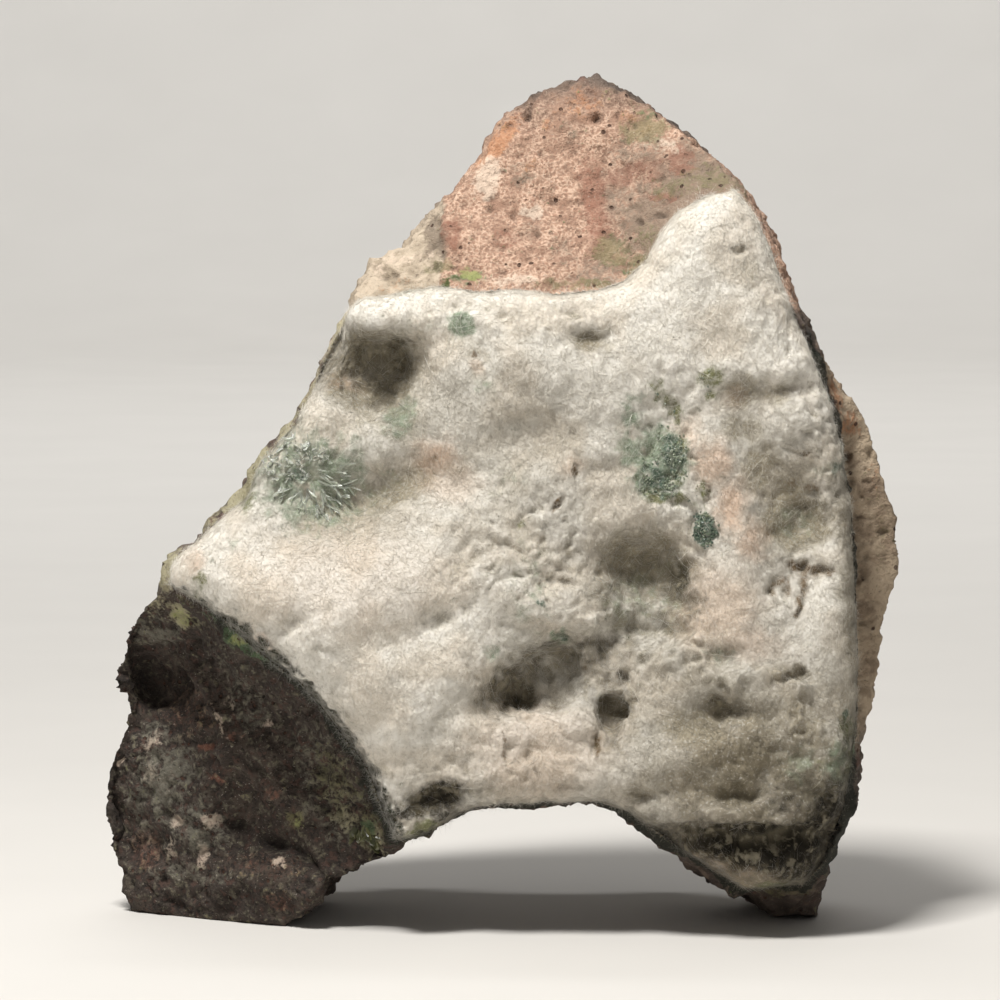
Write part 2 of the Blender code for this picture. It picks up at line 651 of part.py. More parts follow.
def drop_enclosed(thing):
    """Delete the skins of spaces that blades close off inside the crystals."""
    body = bmesh.new()
    body.from_mesh(thing.data)
    waiting = set(body.verts)
    skins = []
    while waiting:
        skin, front = set(), [waiting.pop()]
        while front:
            vertex = front.pop()
            skin.add(vertex)
            for edge in vertex.link_edges:
                other = edge.other_vert(vertex)
                if other in waiting:
                    waiting.remove(other)
                    front.append(other)
        skins.append(skin)
    skins.sort(key=len)
    for skin in skins[:-1]:
        bmesh.ops.delete(body, geom=list(skin), context="VERTS")
    body.to_mesh(thing.data)
    body.free()


# Spray on the left edge: fans of blades, each with a centre, a blade count and a reach
SPRAY_FANS = [
    (-25.8, 59.0, 9, 5.4),
    (-23.0, 60.6, 8, 4.0),
    (-20.4, 58.2, 8, 3.8),
    (-21.6, 55.8, 7, 3.6),
    (-25.2, 56.0, 8, 4.2),
]
SINGLE_CRYSTAL = (-22.6, 54.6)


SPRAY_CRUST = 0.9
SPRAY_BLADE_WIDTH = (0.9, 1.6)
SPRAY_BLADE_THICKNESS = (0.45, 0.7)


def make_spray(material, felt, edge):
    """Radiating blades on a small crust."""
    rng = random.Random(31)
    sheet = Sheet(offset_loop(edge, -0.6), 2.2, 23)

    def crust_depth(point):
        inwards = min(1.0, distance_to(point, edge) / 2.0)
        return felt_depth(point) - GAP - 0.35 - SPRAY_CRUST * inwards

    crust = make_crust("green_crystal_spray", material, felt, felt_depth, edge, sheet, crust_depth,
                       0.0, 0.2)
    blades = []
    for x, z, count, reach in SPRAY_FANS:
        for number in range(count):
            around = math.tau * (number + rng.uniform(-0.3, 0.3)) / count
            lift = rng.uniform(0.25, 1.2)
            length = reach * rng.uniform(0.7, 1.1)
            centre = Vector((x, z))
            root = Vector((x, crust_depth(centre) + 0.45, z))
            sideways = Vector((math.cos(around), 0.0, math.sin(around))) * math.cos(lift)
            direction = sideways + Vector((0.0, -math.sin(lift), 0.0))
            start = root + sideways * 0.7
            width, thickness = rng.uniform(*SPRAY_BLADE_WIDTH), rng.uniform(*SPRAY_BLADE_THICKNESS)
            roll = rng.uniform(0.0, math.pi)
            blades.append(add_blade(start, root + direction * length, width, thickness, roll))
    x, z = SINGLE_CRYSTAL
    root = Vector((x, crust_depth(Vector((x, z))) + 0.3, z))
    blades.append(add_blade(root, root + Vector((0.5, -2.6, -0.9)), 1.7, 1.3, 0.4))
    fuse(crust, blades)


# Blades in the notch: their roots run along x, and they fan out downwards
NOTCH_BLADES = 7
NOTCH_ROOT = (-17.8, 12.2)
NOTCH_ROOT_STEP = 0.3
NOTCH_FAN_START = -118.0
NOTCH_FAN_STEP = 13.0
NOTCH_BLADE_LENGTH = (2.2, 3.6)
NOTCH_BLADE_WIDTH = 0.8
NOTCH_BLADE_THICKNESS = 0.45


def make_notch_blades(material, rock_face, edge):
    """A few small blades in the notch between the felt and the lower left block."""
    rng = random.Random(53)
    sheet = Sheet(offset_loop(edge, -0.45), 1.6, 37)

    def crust_depth(point):
        inwards = min(1.0, distance_to(point, edge) / 1.2)
        return rock_front_depth(point) - GAP - 0.3 - 0.6 * inwards

    crust = make_crust("notch_blades", material, rock_face, rock_front_depth, edge, sheet,
                       crust_depth, 0.0, 0.2)
    blades = []
    for number in range(NOTCH_BLADES):
        x = NOTCH_ROOT[0] + NOTCH_ROOT_STEP * number
        z = NOTCH_ROOT[1] + rng.uniform(-0.5, 0.5)
        root = Vector((x, crust_depth(Vector((x, z))) + 0.3, z))
        fan = math.radians(NOTCH_FAN_START + NOTCH_FAN_STEP * number)
        direction = Vector((math.cos(fan), -0.9 - 0.4 * rng.random(), math.sin(fan)))
        tip = root + direction * rng.uniform(*NOTCH_BLADE_LENGTH)
        roll = rng.uniform(0.0, math.pi)
        blades.append(add_blade(root, tip, NOTCH_BLADE_WIDTH, NOTCH_BLADE_THICKNESS, roll))
    fuse(crust, blades)


def stand_on_origin(things):
    """Put the middle of the specimen's footprint box on the origin, and turn its lengths into metres."""
    corners = [vertex.co for thing in things for vertex in thing.data.vertices]
    low = Vector((min(c.x for c in corners), min(c.y for c in corners), min(c.z for c in corners)))
    high = Vector((max(c.x for c in corners), max(c.y for c in corners), 0.0))
    middle = Vector(((low.x + high.x) / 2.0, (low.y + high.y) / 2.0, low.z))
    for thing in things:
        thing.data.transform(Matrix.Scale(MM, 4) @ Matrix.Translation(-middle))


def main():
    """Build the specimen from the rock outwards."""
    for thing in list(bpy.data.objects):
        bpy.data.objects.remove(thing)
    basalt = make_material("basalt", (0.36, 0.24, 0.18), 0.9)
    felt = make_material("mordenite_felt", (0.76, 0.73, 0.66), 1.0)
    glassy = make_material("green_glassy_blades", (0.42, 0.55, 0.44), 0.2, 0.4)
    druse = make_material("green_druse", (0.14, 0.27, 0.20), 0.4)
    olive = make_material("yellow_green_blades", (0.48, 0.50, 0.28), 0.3, 0.3)

    rock_face, notch_edge = make_rock(basalt)
    felt_sheet, druse_edge, spray_edge = make_felt(felt, rock_face)
    make_druse(druse, felt_sheet, druse_edge)
    make_spray(glassy, felt_sheet, spray_edge)
    make_notch_blades(olive, rock_face, notch_edge)
    stand_on_origin(list(bpy.data.objects))


main()
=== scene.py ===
"""Mordenite specimen: white felt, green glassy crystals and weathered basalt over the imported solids."""

import logging
import math
from dataclasses import dataclass

import bpy
import numpy as np
from mathutils import Vector, noise
from mathutils.bvhtree import BVHTree
from mathutils.kdtree import KDTree
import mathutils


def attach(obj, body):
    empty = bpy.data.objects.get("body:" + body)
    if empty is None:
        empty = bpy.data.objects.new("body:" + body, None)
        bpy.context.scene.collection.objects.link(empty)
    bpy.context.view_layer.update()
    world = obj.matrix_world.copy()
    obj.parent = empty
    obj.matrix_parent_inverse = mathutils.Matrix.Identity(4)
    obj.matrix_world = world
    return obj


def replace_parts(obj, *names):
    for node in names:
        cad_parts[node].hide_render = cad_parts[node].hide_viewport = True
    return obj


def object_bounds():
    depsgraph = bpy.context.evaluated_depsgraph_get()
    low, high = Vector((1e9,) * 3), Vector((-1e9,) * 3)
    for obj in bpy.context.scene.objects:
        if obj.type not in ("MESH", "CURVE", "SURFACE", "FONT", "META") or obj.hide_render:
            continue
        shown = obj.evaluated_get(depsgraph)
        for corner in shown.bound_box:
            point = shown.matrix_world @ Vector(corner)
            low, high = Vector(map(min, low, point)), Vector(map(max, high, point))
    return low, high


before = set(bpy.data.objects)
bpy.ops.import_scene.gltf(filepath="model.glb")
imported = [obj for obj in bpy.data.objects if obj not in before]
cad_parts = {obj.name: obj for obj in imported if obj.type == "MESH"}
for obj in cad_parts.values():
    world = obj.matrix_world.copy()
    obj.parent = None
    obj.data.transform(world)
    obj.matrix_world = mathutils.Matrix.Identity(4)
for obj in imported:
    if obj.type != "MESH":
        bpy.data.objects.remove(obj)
CAD_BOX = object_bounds()

LOG = logging.getLogger("mordenite")
MM = 0.001
Array = np.ndarray


# Colour, nodes and noise


def linear(colour: str) -> tuple[float, float, float, float]:
    """Turns an sRGB hex colour to linear light.

    Args:
        colour: such as "#D9A98A".

    Returns:
        Red, green, blue and an alpha of one.
    """
    parts = [int(colour[i : i + 2], 16) / 255 for i in (1, 3, 5)]
    light = [c / 12.92 if c <= 0.04045 else ((c + 0.055) / 1.055) ** 2.4 for c in parts]
    return (*light, 1.0)


def add(tree: bpy.types.NodeTree, kind: str, settings: dict | None = None,
        links: dict | None = None) -> bpy.types.Node:
    """Adds one node with its settings and what goes into its sockets.

    Args:
        tree: the material's node tree.
        kind: the node's type name.
        settings: attributes of the node itself.
        links: socket name or number to a value, or to the output socket that feeds it.

    Returns:
        The new node.
    """
    node = tree.nodes.new(kind)
    for name, value in (settings or {}).items():
        setattr(node, name, value)
    for name, value in (links or {}).items():
        if isinstance(value, bpy.types.NodeSocket):
            tree.links.new(value, node.inputs[name])
        else:
            node.inputs[name].default_value = value
    return node


def smooth(value: Array, low: float, high: float) -> Array:
    """Smooth step from 0 at low to 1 at high."""
    share = np.clip((value - low) / (high - low), 0.0, 1.0)
    return share * share * (3.0 - 2.0 * share)


def ripple(points: Array, size: float, seed: float = 0.0, octaves: int = 1) -> Array:
    """Even noise over points.

    Args:
        points: places in mm, one row each.
        size: width of the largest swells in mm.
        seed: shifts the pattern.
        octaves: how many finer layers are added, each half as wide.

    Returns:
        One number a point, about -1 to 1.
    """
    places = (points / size + np.array([seed, 1.7 * seed, -2.3 * seed])).tolist()
    if octaves == 1:
        return np.array([noise.noise(p) for p in places]) * 1.6
    return np.array([noise.fractal(p, 0.9, 2.0, octaves) for p in places])


def crumbs(points: Array, size: float, seed: float = 0.0) -> tuple[Array, Array]:
    """Rounded crumbs packed side by side.

    Args:
        points: places in mm.
        size: width of a crumb in mm.
        seed: shifts the pattern.

    Returns:
        Distance to the nearest crumb's middle, and how deep inside the crumb a point is, in crumb widths.
    """
    places = (points / size + seed).tolist()
    near = np.array([noise.voronoi(p)[0][:2] for p in places])
    return near[:, 0], near[:, 1] - near[:, 0]


# What is placed on the front


@dataclass(frozen=True)
class Spot:
    """A soft-edged oval seen from the front, in mm.

    Turn is in degrees, and soft is the share of its radius that fades on each side of its edge.
    """

    x: float
    z: float
    wide: float
    tall: float
    strength: float = 1.0
    turn: float = 0.0
    soft: float = 0.6

    def on(self, x: Array, z: Array) -> Array:
        """Strength of the spot at each place.

        Args:
            x: places across, in mm.
            z: places up, in mm.

        Returns:
            One strength a place.
        """
        angle = math.radians(self.turn)
        across = ((x - self.x) * math.cos(angle) + (z - self.z) * math.sin(angle)) / self.wide
        along = ((z - self.z) * math.cos(angle) - (x - self.x) * math.sin(angle)) / self.tall
        return self.strength * (1.0 - smooth(np.hypot(across, along), 1.0 - self.soft, 1.0 + self.soft))


def spots(*rows: tuple[float, ...]) -> tuple[Spot, ...]:
    """Spots from rows of x, z, half width, half height, and then strength, turn and softness where given."""
    return tuple(Spot(*row) for row in rows)


@dataclass(frozen=True)
class Seam:
    """A crack, groove or ridge along a line seen from the front, in mm; a depth below zero stands proud."""

    line: tuple[tuple[float, float], ...]
    width: float
    depth: float = 1.0

    def on(self, x: Array, z: Array) -> Array:
        """Depth of the seam at each place.

        Args:
            x: places across, in mm.
            z: places up, in mm.

        Returns:
            One depth a place.
        """
        nearest = np.full(len(x), 1e9)
        for (x0, z0), (x1, z1) in zip(self.line, self.line[1:]):
            length = (x1 - x0) ** 2 + (z1 - z0) ** 2
            share = np.clip(((x - x0) * (x1 - x0) + (z - z0) * (z1 - z0)) / length, 0.0, 1.0)
            nearest = np.minimum(nearest, np.hypot(x - x0 - share * (x1 - x0), z - z0 - share * (z1 - z0)))
        return self.depth * np.exp(-((nearest / self.width) ** 2))


@dataclass(frozen=True)
class Stain:
    """A named stain of spots and seams.

    Its edge strays by ragged mm in lobes of grain mm, and a patchy share of it is missing.
    """

    name: str
    marks: tuple[Spot | Seam, ...]
    ragged: float = 0.7
    grain: float = 2.4
    patchy: float = 0.0

    def on(self, skin: "Skin") -> Array:
        """Strength of the stain at each point of a skin, the strongest mark counting.

        Args:
            skin: the skin that is stained.

        Returns:
            One strength a point, 0 to 1.
        """
        seed = sum(map(ord, self.name)) * 0.37
        x = skin.points[:, 0] + self.ragged * ripple(skin.points, self.grain, seed, 3)
        z = skin.points[:, 2] + self.ragged * ripple(skin.points, self.grain, seed + 9.1, 3)
        strength = np.max([mark.on(x, z) for mark in self.marks], axis=0)
        gaps = smooth(ripple(skin.points, self.grain, seed + 4.4, 3), -0.1, 0.7)
        return strength * (1.0 - self.patchy * gaps)


# Skins: meshes held as arrays


class Skin:
    """A triangle mesh in mm that can be refined, relaxed and lifted, with a named number for each point."""

    def __init__(self, points: Array, faces: Array) -> None:
        """Keeps the points and faces; masks start empty.

        Args:
            points: one row a point, in mm.
            faces: three point numbers a row.
        """
        self.points = points
        self.faces = faces
        self.masks: dict[str, Array] = {}

    @classmethod
    def of_node(cls, name: str) -> "Skin":
        """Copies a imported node's surface.

        Args:
            name: the CAD node.

        Returns:
            A skin whose coinciding points are joined.
        """
        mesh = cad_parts[name].data
        mesh.calc_loop_triangles()
        points = np.zeros(len(mesh.vertices) * 3, np.float32)
        mesh.vertices.foreach_get("co", points)
        faces = np.zeros(len(mesh.loop_triangles) * 3, np.int32)
        mesh.loop_triangles.foreach_get("vertices", faces)
        points = points.reshape(-1, 3).astype(float) / MM
        _, first, joined = np.unique(np.round(points, 3), axis=0, return_index=True, return_inverse=True)
        faces = joined.reshape(-1)[faces].reshape(-1, 3)
        apart = (faces[:, 0] != faces[:, 1]) & (faces[:, 1] != faces[:, 2]) & (faces[:, 0] != faces[:, 2])
        return cls(points[first], faces[apart])

    def edges(self) -> tuple[Array, Array]:
        """All edges once, and for every face the numbers of its three edges.

        Returns:
            The two ends of each edge, and three edge numbers a face.
        """
        ends = np.sort(self.faces[:, [0, 1, 1, 2, 2, 0]].reshape(-1, 2), axis=1)
        keys, back = np.unique(ends[:, 0] * np.int64(len(self.points)) + ends[:, 1], return_inverse=True)
        pairs = np.stack([keys // len(self.points), keys % len(self.points)], axis=1)
        return pairs, back.reshape(-1, 3)

    def normals(self) -> Array:
        """Outward direction at each point.

        Returns:
            One direction a point, of length one.
        """
        a, b, c = (self.points[self.faces[:, k]] for k in range(3))
        flat = np.cross(b - a, c - a)
        total = np.zeros_like(self.points)
        for axis in range(3):
            for k in range(3):
                total[:, axis] += np.bincount(self.faces[:, k], flat[:, axis], len(self.points))
        return total / np.maximum(np.linalg.norm(total, axis=1, keepdims=True), 1e-9)

    def refine(self, longest: Array) -> None:
        """Splits edges until each is shorter than the length wanted near it.

        Args:
            longest: for each point, the edge length wanted round it in mm.
        """
        for _ in range(7):
            pairs, sides = self.edges()
            a, b = pairs[:, 0], pairs[:, 1]
            length = np.linalg.norm(self.points[a] - self.points[b], axis=1)
            split = length > 1.25 * np.minimum(longest[a], longest[b])
            if not split.any():
                break
            number = np.where(split, len(self.points) + np.cumsum(split) - 1, -1)
            self.points = np.vstack([self.points, (self.points[a[split]] + self.points[b[split]]) / 2])
            longest = np.concatenate([longest, (longest[a[split]] + longest[b[split]]) / 2])
            self.faces = self._cut(self.faces, number[sides])

    @staticmethod
    def _cut(faces: Array, middles: Array) -> Array:
        """Cuts each face at the middles of its split sides.

        Args:
            faces: three points a face.
            middles: the new point on each side, or -1.

        Returns:
            The new faces.
        """
        count = (middles >= 0).sum(axis=1)
        turn = np.where(count == 1, np.argmax(middles >= 0, axis=1), 0)
        turn = np.where(count == 2, (np.argmin(middles, axis=1) + 1) % 3, turn)
        order = (np.arange(3)[None, :] + turn[:, None]) % 3
        corner = np.take_along_axis(faces, order, axis=1)
        middle = np.take_along_axis(middles, order, axis=1)
        one, two, three = count == 1, count == 2, count == 3
        c, m = corner.T, middle.T
        parts = [
            faces[count == 0],
            np.stack([c[0], m[0], c[2]], 1)[one],
            np.stack([m[0], c[1], c[2]], 1)[one],
            np.stack([m[0], c[1], m[1]], 1)[two],
            np.stack([c[0], m[0], m[1]], 1)[two],
            np.stack([c[0], m[1], c[2]], 1)[two],
            np.stack([c[0], m[0], m[2]], 1)[three],
            np.stack([m[0], c[1], m[1]], 1)[three],
            np.stack([m[2], m[1], c[2]], 1)[three],
            np.stack([m[0], m[1], m[2]], 1)[three],
        ]
        return np.vstack(parts)

    def blurred(self, values: Array, rounds: int, weight: Array | float = 0.6) -> Array:
        """Evens out numbers or places with their neighbours.

        Args:
            values: a number or a row for each point.
            rounds: how many times.
            weight: how far each point goes towards its neighbours' mean.

        Returns:
            The evened values.
        """
        pairs, _ = self.edges()
        flat = values.reshape(len(values), -1).astype(float)
        count = len(flat)
        reach = np.bincount(pairs[:, 0], minlength=count) + np.bincount(pairs[:, 1], minlength=count)
        reach = np.maximum(reach, 1)
        pull = np.broadcast_to(np.asarray(weight, float), count)
        for _ in range(rounds):
            for axis in range(flat.shape[1]):
                column = flat[:, axis]
                total = np.bincount(pairs[:, 0], column[pairs[:, 1]], count)
                total += np.bincount(pairs[:, 1], column[pairs[:, 0]], count)
                flat[:, axis] = column + pull * (total / reach - column)
        return flat.reshape(values.shape)

    def relax(self, rounds: int, weight: Array | float = 0.6) -> None:
        """Softens the shape; see blurred."""
        self.points = self.blurred(self.points, rounds, weight)

    def hollowness(self, rounds: int, depth: float) -> Array:
        """How far each point lies below the evened surface, 0 to 1 at depth mm."""
        even = self.blurred(self.points, rounds)
        return np.clip(((even - self.points) * self.normals()).sum(axis=1) / depth, -1.0, 1.0)

    def keep_inside(self, margin: float = 0.02) -> None:
        """Keeps every point inside the CAD model's box."""
        low, high = (np.array(corner) / MM for corner in CAD_BOX)
        self.points = np.clip(self.points, low + [margin, margin, 0.0], high - margin)

    def tree(self) -> BVHTree:
        """A search tree of the faces, in mm."""
        return BVHTree.FromPolygons(self.points.tolist(), self.faces.tolist())

    def piece(self, name: str, finish: "Finish", slot: str, sharp: bool = False) -> bpy.types.Object:
        """Makes the Blender object, which rides on the root body.

        Args:
            name: the object's name.
            finish: what it is dressed in.
            slot: the record's material slot; not used.
            sharp: flat faces, as on crystals.

        Returns:
            The object.
        """
        mesh = bpy.data.meshes.new(name)
        mesh.vertices.add(len(self.points))
        mesh.vertices.foreach_set("co", (self.points * MM).astype(np.float32).ravel())
        mesh.loops.add(len(self.faces) * 3)
        mesh.loops.foreach_set("vertex_index", self.faces.astype(np.int32).ravel())
        mesh.polygons.add(len(self.faces))
        mesh.polygons.foreach_set("loop_start", np.arange(0, len(self.faces) * 3, 3, dtype=np.int32))
        mesh.polygons.foreach_set("use_smooth", np.full(len(self.faces), not sharp))
        mesh.update(calc_edges=True)
        for label, values in self.masks.items():
            layer = mesh.attributes.new(label, "FLOAT", "POINT")
            layer.data.foreach_set("value", values.astype(np.float32))
        made = bpy.data.objects.new(name, mesh)
        bpy.context.scene.collection.objects.link(made)
        mesh.materials.append(finish.material())
        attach(made, "root")
        LOG.info("%s: %d triangles", name, len(self.faces))
        return made


# Finishes


class Paint:
    """A material being painted in layers: the colour so far, the bump so far and the patterns they share."""

    def __init__(self, name: str) -> None:
        """Starts an empty material with a Principled shader.

        Args:
            name: the material's name.
        """
        self.made = bpy.data.materials.new(name)
        self.made.use_nodes = True
        self.tree = self.made.node_tree
        self.tree.nodes.clear()
        self.shader = add(self.tree, "ShaderNodeBsdfPrincipled")
        add(self.tree, "ShaderNodeOutputMaterial", links={"Surface": self.shader.outputs[0]})
        self.place = add(self.tree, "ShaderNodeTexCoord").outputs["Object"]
        self.colour: bpy.types.NodeSocket | None = None
        self.bump: bpy.types.NodeSocket | None = None

    def mask(self, name: str) -> bpy.types.NodeSocket:
        """The strength of a named stain."""
        return add(self.tree, "ShaderNodeAttribute", {"attribute_name": name}).outputs["Fac"]

    def grain(self, size: float, detail: float = 2.0, stretch: tuple[float, float, float] = (1, 1, 1),
              turn: float = 0.0, warp: float = 0.0) -> bpy.types.NodeSocket:
        """Noise with swells of size mm.

        Args:
            size: width of the swells in mm.
            detail: how many finer layers it has.
            stretch: how many times longer it is along x, y and z.
            turn: degrees about the y axis.
            warp: how much it is twisted.

        Returns:
            The noise, 0 to 1.
        """
        place = self.place
        if stretch != (1, 1, 1) or turn:
            place = add(self.tree, "ShaderNodeMapping", {"vector_type": "TEXTURE"}, {
                "Vector": place, "Rotation": (0.0, math.radians(turn), 0.0), "Scale": stretch}).outputs[0]
        return add(self.tree, "ShaderNodeTexNoise", links={
            "Vector": place, "Scale": 1 / (size * MM), "Detail": detail, "Distortion": warp}).outputs[0]

    def cells(self, size: float, feature: str = "F1", output: str = "Distance") -> bpy.types.NodeSocket:
        """Packed grains of size mm: the distance from their middles, or from their edges."""
        return add(self.tree, "ShaderNodeTexVoronoi", {"feature": feature}, {
            "Vector": self.place, "Scale": 1 / (size * MM)}).outputs[output]

    def between(self, value: bpy.types.NodeSocket, low: float, high: float,
                top: float = 1.0) -> bpy.types.NodeSocket:
        """A smooth step of value from low to high, reaching top."""
        return add(self.tree, "ShaderNodeMapRange", {"interpolation_type": "SMOOTHSTEP"}, {
            "Value": value, "From Min": low, "From Max": high, "To Max": top}).outputs[0]

    def math(self, operation: str, a: bpy.types.NodeSocket | float,
             b: bpy.types.NodeSocket | float) -> bpy.types.NodeSocket:
        """Two numbers joined, such as by MULTIPLY."""
        return add(self.tree, "ShaderNodeMath", {"operation": operation}, {0: a, 1: b}).outputs[0]

    def torn(self, mask: bpy.types.NodeSocket, pattern: bpy.types.NodeSocket,
             share: float) -> bpy.types.NodeSocket:
        """A mask whose soft edge is torn up by a pattern.

        Args:
            mask: the soft mask.
            pattern: noise, 0 to 1.
            share: how much the pattern counts.

        Returns:
            The torn mask.
        """
        noisy = self.math("MULTIPLY", self.math("SUBTRACT", pattern, 0.5), 2.0 * share)
        return self.between(self.math("ADD", mask, noisy), 0.22, 0.80)

    def over(self, colour: str, mask: bpy.types.NodeSocket | float, blend: str = "MIX") -> None:
        """Lays a colour over what is painted so far, where mask says.

        Args:
            colour: an sRGB hex colour.
            mask: where it lies and how strongly, 0 to 1.
            blend: how the two colours are mixed.
        """
        if self.colour is None:
            self.colour = add(self.tree, "ShaderNodeRGB").outputs[0]
            self.colour.default_value = linear(colour)
            return
        self.colour = add(self.tree, "ShaderNodeMix", {"data_type": "RGBA", "blend_type": blend}, {
            0: mask, 6: self.colour, 7: linear(colour)}).outputs[2]

    def relief(self, height: bpy.types.NodeSocket, depth: float) -> None:
        """Adds fine relief, depth mm from its lowest to its highest.

        Args:
            height: the pattern, 0 at its lowest and 1 at its highest.
            depth: in mm.
        """
        links = {"Height": height, "Strength": 1.0, "Distance": depth * MM}
        if self.bump:
            links["Normal"] = self.bump
        self.bump = add(self.tree, "ShaderNodeBump", links=links).outputs[0]

    def finished(self, **sockets: float | tuple) -> bpy.types.Material:
        """Sets the shader's own sockets, named with _ for a space, and returns the material.

        Returns:
            The finished material.
        """
        for name, value in sockets.items():
            self.shader.inputs[name.replace("_", " ")].default_value = value
        if self.colour:
            self.tree.links.new(self.colour, self.shader.inputs["Base Color"])
        if self.bump:
            self.tree.links.new(self.bump, self.shader.inputs["Normal"])
        return self.made


class Finish:
    """What a piece is dressed in; each kind paints its own material once."""

    name: str

    def material(self) -> bpy.types.Material:
        """The painted material, made on first use."""
        return bpy.data.materials.get(self.name) or self.paint(Paint(self.name))

    def paint(self, paint: Paint) -> bpy.types.Material:
        """Paints the material; each finish has its own."""
        raise NotImplementedError


# The felt's stains and painted shade from the lowest to the topmost, each with its colour and how torn its
# edge is
FELT_LAYERS = (
    ("thin", "#7C725C", 0), ("haze", "#9A917D", 0.25), ("peach", "#D3B79F", 0), ("green", "#8F9B86", 0.5),
    ("olive", "#7B7C58", 0.8), ("teal", "#54685A", 0.6), ("hollow", "#4A4333", 0),
    ("rust", "#6A5539", 0.25), ("dark", "#1E1A12", 0.25), ("selvage", "#2A2C1F", 0.8),
)


@dataclass(frozen=True)
class FeltFinish(Finish):
    """Mordenite, grown as a felt of interlocked silky needles.

    The eye sees a matt white, faintly warm, greyer where it is thin over the dark rock, stained green and
    brown by what grows below it, with a grain coarser than its needles, so that it shows. Painted shade
    darkens its valleys, hollows and the parts that turn away from the lamp, and its grain holds painted shade
    and painted highlights.
    """

    name: str = "mordenite_felt_grown"
    thick: str = "#E8E4DB"
    warm: str = "#DDD4C6"
    thin: str = "#B4AE9F"
    roughness: float = 0.9
    ior: float = 1.475

    def paint(self, paint: Paint) -> bpy.types.Material:
        """White, then haze, stains and painted shade from the masks, then specks and the needles' grain of
        painted shade and painted highlights.

        Args:
            paint: the empty material.

        Returns:
            The finished material.
        """
        broad, patchy, fine = paint.grain(7.0, 2.0), paint.grain(1.3, 4.0), paint.grain(0.36, 3.0)
        paint.over(self.thick, 1.0)
        paint.over(self.warm, paint.between(broad, 0.42, 0.62))
        worn = paint.math("MULTIPLY", paint.between(patchy, 0.46, 0.70, 0.4), paint.mask("rough"))
        paint.over(self.thin, worn)
        for name, colour, ragged in FELT_LAYERS:
            mask = paint.mask(name)
            paint.over(colour, paint.torn(mask, patchy, ragged) if ragged else mask)
        clots = paint.math("MULTIPLY", paint.between(patchy, 0.50, 0.64), paint.mask("hollow"))
        paint.over("#A79E88", paint.math("MULTIPLY", clots, 0.55))
        # painted shade where the felt lies below its evened surface
        paint.over("#8E8570", paint.math("MULTIPLY", paint.mask("cavity"), 0.5))
        # specks of rock dust 0.15 to 0.3 mm wide caught in the felt
        seat = paint.cells(1.15)
        lone = paint.between(paint.cells(1.15, output="Color"), 0.55, 0.75)
        specks = paint.math("MULTIPLY", paint.math("SUBTRACT", 1.0, paint.between(seat, 0.06, 0.15)), lone)
        paint.over("#544C3C", paint.math("MULTIPLY", specks, paint.mask("speck")))
        # painted grain of 0.2 to 0.4 mm: painted shade between the needles and painted highlights on their
        # ends, kept off the painted shade of the hollows
        lit = paint.math("SUBTRACT", 1.0, paint.math("MAXIMUM", paint.mask("hollow"), paint.mask("dark")))
        paint.over("#8D8470", paint.math("MULTIPLY", lit, paint.between(fine, 0.56, 0.72, 0.35)))
        paint.over("#F4F1EA", paint.math("MULTIPLY", lit, paint.between(fine, 0.46, 0.32, 0.30)))
        paint.relief(patchy, 0.12)
        paint.relief(fine, 0.09)
        return paint.finished(Roughness=self.roughness, IOR=self.ior, Specular_IOR_Level=0.3)


@dataclass(frozen=True)
class FibreFinish(Finish):
    """Mordenite, grown as loose silky needles that stand over the felt.

    The eye sees fine pale hairs, a little brighter than what lies below them, that veil the stains and the
    painted shade.
    """

    name: str = "mordenite_fibres_grown"
    thick: str = "#EBE5D9"
    veil: float = 0.42
    roughness: float = 0.6
    ior: float = 1.475

    def paint(self, paint: Paint) -> bpy.types.Material:
        """The felt's stains and painted shade below a pale veil.

        Args:
            paint: the empty material.

        Returns:
            The finished material.
        """
        paint.over(self.thick, 1.0)
        # the felt's layers, painted shade among them
        for name, colour, _ in FELT_LAYERS:
            paint.over(colour, paint.mask(name))
        # the veil is thinner under the felt's broad grey-brown, which is partly painted shade
        thick = paint.math("SUBTRACT", 1.0, paint.mask("thin"))
        paint.over("#EFEBE2", paint.math("MULTIPLY", thick, self.veil))
        return paint.finished(Roughness=self.roughness, IOR=self.ior, Specular_IOR_Level=0.4)


